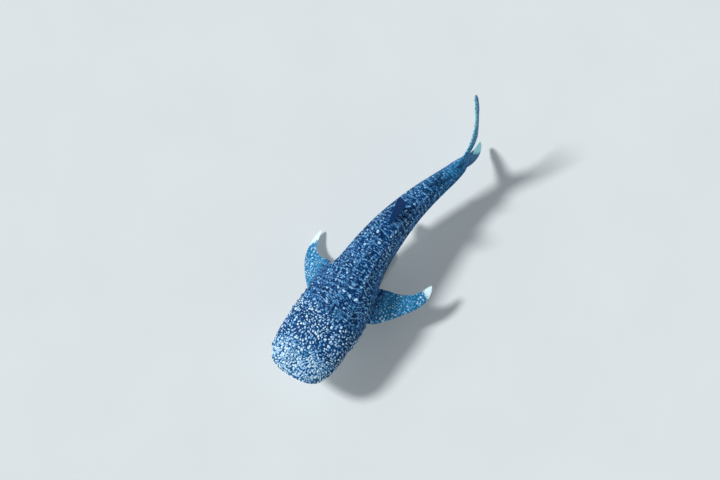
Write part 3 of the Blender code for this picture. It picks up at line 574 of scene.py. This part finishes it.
def tail_lean(s, rise):
    (start, gain), (tip, more, right) = UPPER_LEAD, UPPER_TIP
    over = np.clip(rise - tip, 0, None)
    behind = np.clip(s - start - gain * rise, 0, None)
    upper = (UPPER_TWIST + more * over) * behind * rising(rise, *UPPER_FREE) - right * over
    share, below = LOWER_LEAN
    return upper + share * np.clip(-rise - below, 0, None)


def even_look(tone):
    """The look of a fin with one tone all over."""
    return lambda s, rise: (np.full_like(rise, 0.75), np.full_like(rise, tone))


def anal_look(s, rise):
    """White at the root, where it leaves the belly, and blue further down."""
    return 1.4 * rising(-rise, 0.18, 0.12) - 0.9, np.zeros_like(rise)


def tail_look(s, rise):
    """The upper lobe is pale, with a painted highlight along its front edge. The lower lobe is dark with
    painted shade, and has a pale end.
    """
    start, gain = UPPER_LEAD
    # painted highlight along the upper lobe's front edge
    edge = smoothstep((start + gain * rise + 0.1 - s) / 0.09)
    end = rising(s + 0.47 * rise, 5.84, 0.34) * rising(-rise, 0.2, 0.14)
    of_upper, of_front_highlight, of_lower_shade, of_end = TAIL_TONES
    upper = rising(rise, 0.25, 0.3) * (of_upper + of_front_highlight * edge)
    # the lower lobe's tone under 0 is painted shade
    return np.full_like(rise, 0.4), upper + of_lower_shade * rising(-rise, 0.16, 0.12) + of_end * end


# name, rows, rings, flare at the root, rise of the body's edge there, look, rounded ends, lean
UPRIGHT_FINS = (
    # the dorsal fins' tones under 0 paint them in shade, deep blue with their marks taken away
    ("dorsal", DORSAL_FIRST, 36, 0.05, 0.5, even_look(-1.0), ENDS, dorsal_lean),
    ("rear_dorsal", DORSAL_SECOND, 26, 0.03, 0.27, even_look(-0.5), ENDS, no_lean),
    ("anal", ANAL, 26, 0.026, -0.2, anal_look, ENDS, no_lean),
    ("caudal", CAUDAL, 96, 0.03, 0.0, tail_look, (0.03, 0.03), tail_lean),
)


def upright_fin(skin_tree, name, rows, count, flare, base, look, ends, lean):
    """A fin on the middle line. The pattern is carried on over it from base."""
    def where(s, rise, n):
        return place(s, n + lean(s, rise), rise)

    def mark(s, rise, upper):
        away = np.abs(rise - base)
        height, tone = look(s, rise)
        marks = height, tone * rising(away, *ROOT_TONE)
        zones = np.full_like(s, UPRIGHT_ZONE), np.zeros_like(s)
        return layers_of((s, np.where(upper, -away, away)), marks, zones)

    return fin(name, rows, count, ends, where, mark, skin_tree, flare)


# ---- fins on the flanks
def paired_fin(skin_tree, flank, sign, name, rows, count, root, poses, curl, flare, pale, girth, heights):
    """A fin on one flank, its arguments as PAIRED_FINS gives them."""
    droop, sweep, pitch = np.radians(poses[flank])

    def spread(out, back):
        return out * math.cos(sweep) - back * math.sin(sweep), out * math.sin(sweep) + back * math.cos(sweep)

    def where(out, back, n):
        reach, trail = spread(out, back)
        side = root[1] + reach * math.cos(droop) + n * math.sin(droop)
        lift = trail * math.sin(pitch) + curl * np.clip(reach, 0, None) ** 2
        rise = root[2] - reach * math.sin(droop) + n * math.cos(droop) + lift
        return place(root[0] + trail * math.cos(pitch), sign * side, rise)

    def mark(out, back, upper):
        reach, trail = spread(out, back)
        far = np.hypot(out, back)
        tip = np.zeros_like(out) if pale is None else smoothstep((far - pale[0]) / (pale[1] - pale[0]))
        at_root, outside, under = heights
        top = at_root + (outside - at_root) * rising(out, *TOP_OUT)
        bottom = at_root + (under - at_root) * rising(out, *UNDER_OUT)
        clear = rising(out, *PAIRED_OUT)
        s = root[0] + trail
        lie = s, sign * (girth + np.where(upper, reach, -reach))
        zones = head_share(s) + (PAIRED_ZONE - head_share(s)) * clear, -clear
        return layers_of(lie, (np.where(upper, top, bottom), tip), zones)

    return fin(f"{name}_{flank}", rows, count, ENDS, where, mark, skin_tree, flare)


# ---- small forms of the head, drawn into the skin
def skin_side(s, rise):
    """How far the smooth skin lies from the middle plane."""
    width, over, under = half_sizes(s)
    height = rise - level_at(s)
    share = np.abs(height) / (over if height >= 0 else under)
    return width * max(1 - share**SQUARENESS, 0.0) ** (1 / SQUARENESS)


def on_flank(sign, s, rise):
    """(point, outward) on the head's flank."""
    step = 0.01
    point = place(s, sign * skin_side(s, rise), rise)
    back = place(s + step, sign * skin_side(s + step, rise), rise) - point
    up = place(s, sign * skin_side(s, rise + step), rise + step) - point
    normal = np.cross(back, up) * sign
    return point, normal / np.linalg.norm(normal)


def on_snout(side, rise):
    s = station_of(side, rise)
    return place(s, side, rise + level_at(s))


def refine_near(obj, centres):
    """Cuts the faces near the centres finer, so that small forms can be drawn there."""
    work = bmesh.new()
    work.from_mesh(obj.data)
    spots = [Vector(centre) for centre in centres]
    near = [f for f in work.faces if min((f.calc_center_median() - c).length for c in spots) < FINE_RADIUS]
    edges = list({e for f in near for e in f.edges})
    bmesh.ops.subdivide_edges(work, edges=edges, cuts=FINE_CUTS, use_grid_fill=True)
    work.to_mesh(obj.data)
    work.free()


def distance_to_line(points, line):
    """Distance of each point to a line of points, and the share along it."""
    best = np.full(len(points), 1e9)
    share = np.zeros(len(points))
    total = len(line) - 1
    for i in range(total):
        start, span = line[i], line[i + 1] - line[i]
        t = np.clip(((points - start) @ span) / (span @ span), 0, 1)
        far = np.linalg.norm(points - start - t[:, None] * span, axis=1)
        closer = far < best
        best = np.where(closer, far, best)
        share = np.where(closer, (i + t) / total, share)
    return best, share


def draw_small_forms(obj):
    """Eye sockets, spiracles, nostrils and the folds at the mouth's corners, with painted shade in their
    hollows.
    """
    mesh = obj.data
    points, normals = np.empty((2, len(mesh.vertices) * 3))
    mesh.vertices.foreach_get("co", points)
    mesh.vertices.foreach_get("normal", normals)
    points, normals = points.reshape(-1, 3), normals.reshape(-1, 3)
    moved = np.zeros_like(points)
    shade = np.zeros(len(points))
    for sign in (1, -1):
        for spot, within, stretch, (depth, edge, slope), (dark, fading), rims in HOLLOWS:
            middle, axis = on_flank(sign, *spot)
            off = points - middle
            flat = np.linalg.norm((off - (off @ axis)[:, None] * axis) * stretch, axis=1)
            near = np.linalg.norm(off, axis=1) < within
            form = sum(hump(flat, *rim) for rim in rims) - depth * smoothstep((edge - flat) / slope)
            moved += axis * (form * near)[:, None]
            shade += smoothstep((dark - flat) / fading) * near
        far, share = distance_to_line(points, np.array([on_flank(sign, *spot)[0] for spot in MOUTH_CORNER]))
        for form in CORNER_FORMS:
            moved += normals * (hump(far, *form) * (1 - share**2))[:, None]
        shade += hump(far, *CORNER_SHADE) * (1 - share**2)
        far, share = distance_to_line(points, np.array([on_snout(sign * x, z) for x, z in NOSTRIL_SLIT]))
        (depth, less), (spread, slimmer) = NOSTRIL_DEPTH, NOSTRIL_SPREAD
        moved -= normals * hump(far, depth - less * share, 0.0, spread - slimmer * share)[:, None]
        shade += hump(far, *NOSTRIL_SHADE)
        far, share = distance_to_line(points, np.array([on_snout(sign * x, z) for x, z in BARBEL_LINE]))
        moved += normals * hump(far, *BARBEL)[:, None]
    mesh.vertices.foreach_set("co", (points + moved).ravel())
    mesh.update()
    owners = np.empty(len(mesh.loops), int)
    mesh.loops.foreach_get("vertex_index", owners)
    marks = np.empty(len(owners) * 2)
    mesh.uv_layers["marks"].data.foreach_get("uv", marks)
    # painted shade in the hollows
    marks[1::2] += HOLLOW_SHADE_TONE * shade[owners]
    mesh.uv_layers["marks"].data.foreach_set("uv", marks)


# ---- the whole skin
def joined(target, others):
    """One closed surface of the target and all the others."""
    group = bpy.data.collections.new("fins")
    whole = bpy.context.scene.collection
    whole.children.link(group)
    for other in others:
        whole.objects.unlink(other)
        group.objects.link(other)
    change = target.modifiers.new("join", "BOOLEAN")
    change.operation = "UNION"
    change.solver = "EXACT"
    change.operand_type = "COLLECTION"
    change.collection = group
    graph = bpy.context.evaluated_depsgraph_get()
    made = bpy.data.meshes.new_from_object(target.evaluated_get(graph))
    target.modifiers.remove(change)
    target.data = made
    for other in others:
        bpy.data.objects.remove(other)
    bpy.data.collections.remove(group)


def soften_joins(obj, body_tree, fin_trees):
    """Relaxes the skin where a fin grows from the body."""
    work = bmesh.new()
    work.from_mesh(obj.data)
    bmesh.ops.remove_doubles(work, verts=work.verts, dist=JOIN_WELD)

    def beside(vertex, tree):
        return tree.find_nearest(vertex.co, JOIN_REACH)[0] is not None

    near = [v for v in work.verts if beside(v, body_tree) and any(beside(v, tree) for tree in fin_trees)]
    for _ in range(JOIN_ROUNDS):
        bmesh.ops.smooth_vert(work, verts=near, factor=0.5, use_axis_x=True, use_axis_y=True, use_axis_z=True)
    bmesh.ops.triangulate(work, faces=[f for f in work.faces if len(f.verts) > 4])
    work.to_mesh(obj.data)
    work.free()


def make_skin():
    skin = shell("skin", *body_rings())
    fine = []
    for sign in (1, -1):
        fine += [on_flank(sign, *spot)[0] for spot, *_ in HOLLOWS]
        fine.append(on_snout(sign * NOSTRIL_PLACE[0], NOSTRIL_PLACE[1]))
    refine_near(skin, fine)
    draw_small_forms(skin)
    tree = tree_of(skin)
    fins = [upright_fin(tree, *row) for row in UPRIGHT_FINS]
    for sign, flank in ((1, "left"), (-1, "right")):
        fins += [paired_fin(tree, flank, sign, *row) for row in PAIRED_FINS]
    fin_trees = [tree_of(made) for made in fins]
    joined(skin, fins)
    soften_joins(skin, tree, fin_trees)
    skin.data.shade_smooth()
    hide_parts(*FLESH)
    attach(skin, "root")
    return skin


# ---- materials
def to_linear(colour):
    """A linear colour from an sRGB hex value."""
    parts = [int(colour[i : i + 2], 16) / 255 for i in (1, 3, 5)]
    return (*[c / 12.92 if c <= 0.04045 else ((c + 0.055) / 1.055) ** 2.4 for c in parts], 1.0)


def feed(tree, socket, value):
    """Links the socket to a node's output, or sets it to a number, a vector or an sRGB hex colour."""
    if isinstance(value, bpy.types.NodeSocket):
        tree.links.new(value, socket)
    else:
        socket.default_value = to_linear(value) if isinstance(value, str) else value


def add(tree, kind, inputs=(), output=0, **settings):
    """Adds a node, feeds its inputs by number or name, and gives the output asked for."""
    made = tree.nodes.new("ShaderNode" + kind)
    for name, value in settings.items():
        setattr(made, name, value)
    for key, value in inputs.items() if isinstance(inputs, dict) else enumerate(inputs):
        feed(tree, made.inputs[key], value)
    return made.outputs[output]


def new_material(name):
    """A way to add nodes to a new material, and a way to feed its shader, which gives the material."""
    made = bpy.data.materials.new(name)
    made.use_nodes = True
    tree = made.node_tree
    shader = tree.nodes["Principled BSDF"]

    def finish(**values):
        for key, value in values.items():
            feed(tree, shader.inputs[key.replace("_", " ")], value)
        return made

    return partial(add, tree), finish


def round_spots(node, where, spacing, radii, edge, scatter, tones, dimensions="2D"):
    """Round spots of random size and tone: how pale each place is."""
    cells = {"Vector": where, "Scale": 1 / spacing, "Randomness": scatter}
    chance = node("TexVoronoi", cells, "Color", voronoi_dimensions=dimensions)
    distance = node("TexVoronoi", cells, "Distance", voronoi_dimensions=dimensions)
    size, tone = (node("SeparateColor", (chance,), channel) for channel in (0, 1))
    radius = node("MapRange", (size, 0, 1, radii[0] / spacing, radii[1] / spacing))
    inside = node("Math", (radius, distance), operation="SUBTRACT")
    cover = node("MapRange", (inside, -edge / spacing, edge / spacing, 0, 1), interpolation_type="SMOOTHSTEP")
    tone = node("MapRange", (tone, 0, 1, *tones))
    return node("Math", (cover, tone), operation="MULTIPLY")


def shark_skin():
    """Denticled skin as a museum paints it: a satin slate blue with pale spots, strokes and bars and a
    white belly. To the eye its fine grain breaks up the sheen."""
    node, finish = new_material("shark_skin_satin")
    soft = {"interpolation_type": "SMOOTHSTEP"}
    plus, times, larger = ({"operation": kind} for kind in ("ADD", "MULTIPLY", "MAXIMUM"))
    where = node("TexCoord", (), "Object")
    lie, marks, zones = (node("UVMap", (), "UV", uv_map=layer) for layer in LAYERS)
    along = node("SeparateXYZ", (lie,), 0)
    height, tone = (node("SeparateXYZ", (marks,), axis) for axis in (0, 1))
    head, ridge = (node("SeparateXYZ", (zones,), axis) for axis in (0, 1))
    patchy = node("TexNoise", {"Vector": where, "Scale": 2.4, "Detail": 4.0, "Roughness": 0.6})
    fine = node("TexNoise", {"Vector": where, "Scale": 24.0, "Detail": 4.0, "Roughness": 0.6})
    waver = node("TexNoise", {"Vector": where, "Scale": 5.0, "Detail": 2.0})

    # the pattern is pushed about by some 8 mm every 50 mm and some 80 mm every 500 mm
    pushes = []
    for scale, reach in ((20.0, 0.03), (2.0, 0.3)):
        push = node("TexNoise", {"Vector": where, "Scale": scale, "Detail": 1.0}, "Color")
        push = node("VectorMath", (push, (0.5, 0.5, 0.5)), operation="SUBTRACT")
        pushes.append(node("VectorMath", {0: push, 3: reach}, operation="SCALE"))
    jitter, drift = pushes
    bent = node("VectorMath", (where, jitter), **plus)
    lattice = node("VectorMath", (lie, drift), **plus)
    lattice = node("VectorMath", (lattice, jitter), **plus)

    # the head's spots crowd back to the gills, in ragged patches
    patch_shift = node("MapRange", (patchy, 0.3, 0.7, -0.15, 0.15))
    front = node("Math", (head, patch_shift), **plus)
    front = node("MapRange", (front, 0.12, 0.42, 0, 1), **soft)
    crowd = round_spots(node, lattice, *CROWD)
    crowd = node("Math", (crowd, front), **times)
    # specks lie everywhere, and faint lines along the ridges
    specks = round_spots(node, bent, *SPECKS, "3D")
    broken = node("MapRange", (fine, 0.42, 0.58, 0.0, 0.62), **soft)
    lines = node("MapRange", (ridge, 0.55, 1.0, 0, 0.4), **soft)
    lines = node("Math", (lines, broken), **times)

    # the trunk has spots in loose columns, strokes and broken bars, dimmed low on the flanks as painted shade
    trunk = round_spots(node, lattice, *COLUMNS)
    stretched = node("VectorMath", (lattice, STROKE_CELLS), **times)
    strokes = round_spots(node, stretched, *STROKES)
    beat = node("SeparateXYZ", (lattice,), 0)
    beat = node("Math", (beat, BAR_DISTANCE), operation="DIVIDE")
    beat = node("Math", (beat, 0.5), operation="PINGPONG")
    bars = node("MapRange", (beat, 0.11, 0.04, 0, 1), **soft)
    bars = node("Math", (bars, broken), **times)
    for more in (strokes, bars):
        trunk = node("Math", (trunk, more), **larger)
    behind = node("Math", (1.0, front), operation="SUBTRACT")
    # painted shade: marks dimmed low on the flanks
    painted_flank_shade = node("MapRange", (height, -0.25, 0.4, 0.55, 1.0), **soft)
    for share in (behind, painted_flank_shade):
        trunk = node("Math", (trunk, share), **times)

    # the snout has close spots drawn out backwards
    rim_shift = node("MapRange", (patchy, 0.35, 0.65, -0.06, 0.06))
    rim = node("Math", (head, rim_shift), **plus)
    rim = node("MapRange", (rim, 0.87, 0.99, 0.0, 1.0), **soft)
    stretched = node("VectorMath", (lattice, COMBED_CELLS), **times)
    combed = round_spots(node, stretched, *COMBED)
    combed = node("Math", (combed, rim), **times)

    # all marks together, weaker towards the tail and on the fins
    pale = crowd
    for more in (trunk, specks, combed, lines):
        pale = node("Math", (pale, more), **larger)
    rearward = node("MapRange", (along, 3.9, 5.8, 1.0, 0.78), **soft)
    # no pale marks and no cyan where the tone paints shade
    clear_of_painted_shade = node("MapRange", (tone, -1.0, -0.1, 0.1, 1.0), **soft)
    on_fin = node("MapRange", (ridge, 0.0, -1.0, 0, 1))
    muted = node("MapRange", (on_fin, 0, 1, 1.0, 0.9))
    for share in (rearward, clear_of_painted_shade, muted):
        pale = node("Math", (pale, share), **times)
    faint = node("MapRange", (pale, 0.0, 0.5, 0, 1))
    strong = node("MapRange", (pale, 0.5, 1.0, 0, 1))

    # how much of each colour shows
    depth = node("MapRange", (patchy, 0.35, 0.68, 0, 1), **soft)
    mottle = node("MapRange", (fine, 0.46, 0.72, 0.0, 0.45), **soft)
    lighter = node("Math", (on_fin, 0.48), **times)
    stalk = node("MapRange", (along, 4.3, 6.0, 0.0, 0.34), **soft)
    lip = node("Math", (rim, 0.12), **times)
    for more in (stalk, lip):
        lighter = node("Math", (lighter, more), **larger)
    lighter = node("Math", (lighter, clear_of_painted_shade), **times)
    # painted shade: deep blue where the tone is under 0, on the dorsal fins and the lower tail lobe
    painted_shade = node("MapRange", (tone, -1.0, -0.1, 0.85, 0.0), **soft)
    # painted shade, nearly black, deep in the hollows
    hollow_shade = node("MapRange", (tone, -1.05, -1.6, 0.0, 0.85), **soft)

    # the belly's ragged edge, higher on the jaw than on the flanks
    ragged = node("MapRange", (waver, 0.3, 0.7, -0.1, 0.1))
    frayed = node("MapRange", (fine, 0.3, 0.7, -0.035, 0.035))
    lower = node("MapRange", (head, 0.9, 0.5, 0.0, 0.16))
    edge = height
    for shift in (ragged, frayed, lower):
        edge = node("Math", (edge, shift), **plus)
    verge = node("MapRange", (edge, -0.27, -0.33, 0, 1), **soft)
    belly = node("MapRange", (edge, -0.31, -0.39, 0, 1), **soft)
    white = node("Mix", {0: depth, 6: "#DCE3E6", 7: "#EEF1F1"}, 2, data_type="RGBA")

    # the fins' torn tips, nearly white on the pectorals and cyan on the tail
    torn = node("MapRange", (fine, 0.3, 0.7, -0.32, 0.32))
    torn = node("Math", (tone, torn), **plus)
    tips = node("MapRange", (torn, 0.35, 0.75, 0, 1), **soft)
    at_tail = node("MapRange", (along, 4.5, 5.5, 0, 1))
    tip = node("Mix", {0: at_tail, 6: "#E4FBFF", 7: "#A6F0F8"}, 2, data_type="RGBA")
    tip = node("Mix", {0: mottle, 6: tip, 7: "#7CC8E8"}, 2, data_type="RGBA")

    coat = "#02224A"
    for share, colour in (
        (depth, "#083A70"),  # clouds in the deep slate blue
        (mottle, "#1F5E9A"),
        (lighter, "#2092C2"),  # cyan on the paired fins, the stalk and the lip
        (painted_shade, "#023C7C"),  # painted shade: plain deep blue on the dorsal fins and the lower tail lobe
        # painted shade in the gill slits, nostrils, eye sockets, spiracles and mouth corners
        (hollow_shade, "#01060F"),
        (faint, "#599ACE"),  # faint marks are mid blue, and only the strongest white
        (strong, "#DDF6FF"),
        (verge, "#86ADD0"),
        (belly, white),
        (tips, tip),
    ):
        coat = node("Mix", {0: share, 6: coat, 7: colour}, 2, data_type="RGBA")

    rough = node("MapRange", (fine, 0.3, 0.7, 0.42, 0.56))
    # denticles are under 1 mm, drawn 6 mm across to show
    denticles = node("TexVoronoi", {"Vector": where, "Scale": 170.0}, "Distance")
    creases = node("TexNoise", {"Vector": where, "Scale": 11.0, "Detail": 7.0, "Roughness": 0.62})
    denticles = node("Math", (denticles, 0.0007), **times)
    creases = node("Math", (creases, 0.008), **times)
    level = node("Math", (denticles, creases), **plus)
    bump = node("Bump", {"Height": level, "Strength": 0.55, "Distance": 1.0})
    return finish(Base_Color=coat, Roughness=rough, Normal=bump, IOR=1.33, Specular_IOR_Level=0.15)


def eye_acrylic():
    """A cast acrylic eye: black pupil, dark brown iris and a thin pale ring under a clear, wet gloss."""
    node, finish = new_material("eye_acrylic_gloss")
    lie = node("UVMap", (), "UV", uv_map="lie")
    polar = node("SeparateXYZ", (lie,), 1)
    streaks = node("TexNoise", {"Vector": lie, "Scale": 60.0, "Detail": 3.0})
    colour = node("Mix", {0: streaks, 6: "#0E0D0D", 7: "#3A332B"}, 2, data_type="RGBA")
    # the pupil, and outside the iris the pale ring and the dark behind it
    for start, full, paint in ((0.46, 0.43, "#020203"), (0.8, 0.84, "#8F999D"), (0.88, 0.93, "#0B0D11")):
        share = node("MapRange", (polar, start, full, 0, 1))
        colour = node("Mix", {0: share, 6: colour, 7: paint}, 2, data_type="RGBA")
    return finish(Base_Color=colour, Roughness=0.08, IOR=1.49, Specular_IOR_Level=0.2,
                  Coat_Weight=0.25, Coat_Roughness=0.03)


def stand_enamel():
    """Steel sprayed with satin enamel, pale warm grey: an even sheen with a slight orange peel."""
    node, finish = new_material("stand_enamel_satin")
    where = node("TexCoord", (), "Object")
    cloud = node("TexNoise", {"Vector": where, "Scale": 5.0, "Detail": 5.0})
    colour = node("Mix", {0: cloud, 6: "#A6ADB0", 7: "#B4BABC"}, 2, data_type="RGBA")
    rough = node("MapRange", (cloud, 0.3, 0.7, 0.32, 0.44))
    peel = node("TexNoise", {"Vector": where, "Scale": 240.0, "Detail": 2.0})
    bump = node("Bump", {"Height": peel, "Strength": 0.15, "Distance": 0.0008})
    return finish(Base_Color=colour, Roughness=rough, Normal=bump, Coat_Weight=0.25, Coat_Roughness=0.25)


def floor_paint():
    """Matt pale floor paint, rolled on: even, with faint clouds."""
    node, finish = new_material("floor_matt")
    where = node("TexCoord", (), "Object")
    cloud = node("TexNoise", {"Vector": where, "Scale": 0.5, "Detail": 4.0})
    colour = node("Mix", {0: cloud, 6: "#D6DCDE", 7: "#DDE2E4"}, 2, data_type="RGBA")
    return finish(Base_Color=colour, Roughness=0.9)


# ---- eyes
def make_eye(name, sign, material):
    """An eyeball turned to look out and a little forward, its pole on the pupil."""
    point, axis = on_flank(sign, *EYE_PLACE)
    centre = point - axis * EYE_SUNK
    across = np.cross(axis, (0, 0, 1))
    across /= np.linalg.norm(across)
    up = np.cross(across, axis)
    rows, columns = 40, 56
    polar = np.linspace(0.02, math.pi - 0.02, rows)[:, None]
    turn = np.arange(columns) * 2 * math.pi / columns
    proud, spread, power = CORNEA
    reach = EYE_RADIUS + proud * np.exp(-((polar / spread) ** power))
    ring = np.sin(polar) * reach
    points = (centre + (np.cos(polar) * reach)[..., None] * axis
              + (ring * np.cos(turn))[..., None] * across + (ring * np.sin(turn))[..., None] * up)
    lie = np.broadcast_arrays(np.append(turn, 2 * math.pi) * EYE_RADIUS, polar)
    eye = shell(name + "_ball", points, layers_of(lie, lie, lie))
    eye.data.materials.append(material)
    eye.data.shade_smooth()
    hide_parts(name)
    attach(eye, "root")


# ---- light, floor and camera
def make_floor():
    """A round floor so wide that its far rim lies on the horizon."""
    radius, sides = 240.0, 128
    turn = np.arange(sides) * 2 * math.pi / sides
    rim = [(radius * math.cos(a), radius * math.sin(a), 0.0) for a in turn]
    mesh = bpy.data.meshes.new("floor")
    mesh.from_pydata(rim, [], [tuple(range(len(rim)))])
    mesh.materials.append(floor_paint())
    floor = put("floor", mesh)


def make_light():
    """A broad key from the front right, and a surround that is dimmer overhead than at the horizon."""
    key = bpy.data.lights.new("key", "SUN")
    key.energy = 2.75
    key.angle = math.radians(10)
    direction = Vector((0.8, 0.4, -0.98))
    put("key", key).rotation_euler = direction.to_track_quat("-Z", "Y").to_euler()
    world = bpy.data.worlds.new("studio")
    bpy.context.scene.world = world
    world.use_nodes = True
    tree = world.node_tree
    horizon, overhead, changed = 0.9, 0.42, 0.35
    up = add(tree, "SeparateXYZ", (add(tree, "TexCoord", (), "Generated"),), 2)
    brightness = add(tree, "MapRange", (up, 0.0, changed, horizon, overhead), interpolation_type="SMOOTHSTEP")
    background = tree.nodes["Background"]
    feed(tree, background.inputs["Color"], "#EDF3F7")
    feed(tree, background.inputs["Strength"], brightness)


def make_camera():
    """From high over the shark's left front, 18 degrees off straight down."""
    data = bpy.data.cameras.new("camera")
    data.lens = 85.0
    data.clip_end = 300.0
    camera = put("camera", data)
    bpy.context.scene.camera = camera
    azimuth, elevation, distance = math.radians(31.0), math.radians(72.0), 34.0
    target = Vector((-0.231, 0.582, 1.95))
    flat = math.cos(elevation)
    look = Vector((-math.sin(azimuth) * flat, math.cos(azimuth) * flat, -math.sin(elevation)))
    camera.location = target - look * distance
    camera.rotation_euler = look.to_track_quat("-Z", "Y").to_euler()


bpy.context.scene.view_settings.view_transform = "Standard"
skin = make_skin()
skin.data.materials.clear()
skin.data.materials.append(shark_skin())
acrylic = eye_acrylic()
make_eye("eye_left", 1, acrylic)
make_eye("eye_right", -1, acrylic)
enamel = stand_enamel()
for part in ("stand_base", "stand_rod_front", "stand_rod_rear"):
    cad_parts[part].material_slots[0].material = enamel
make_floor()
make_light()
make_camera()
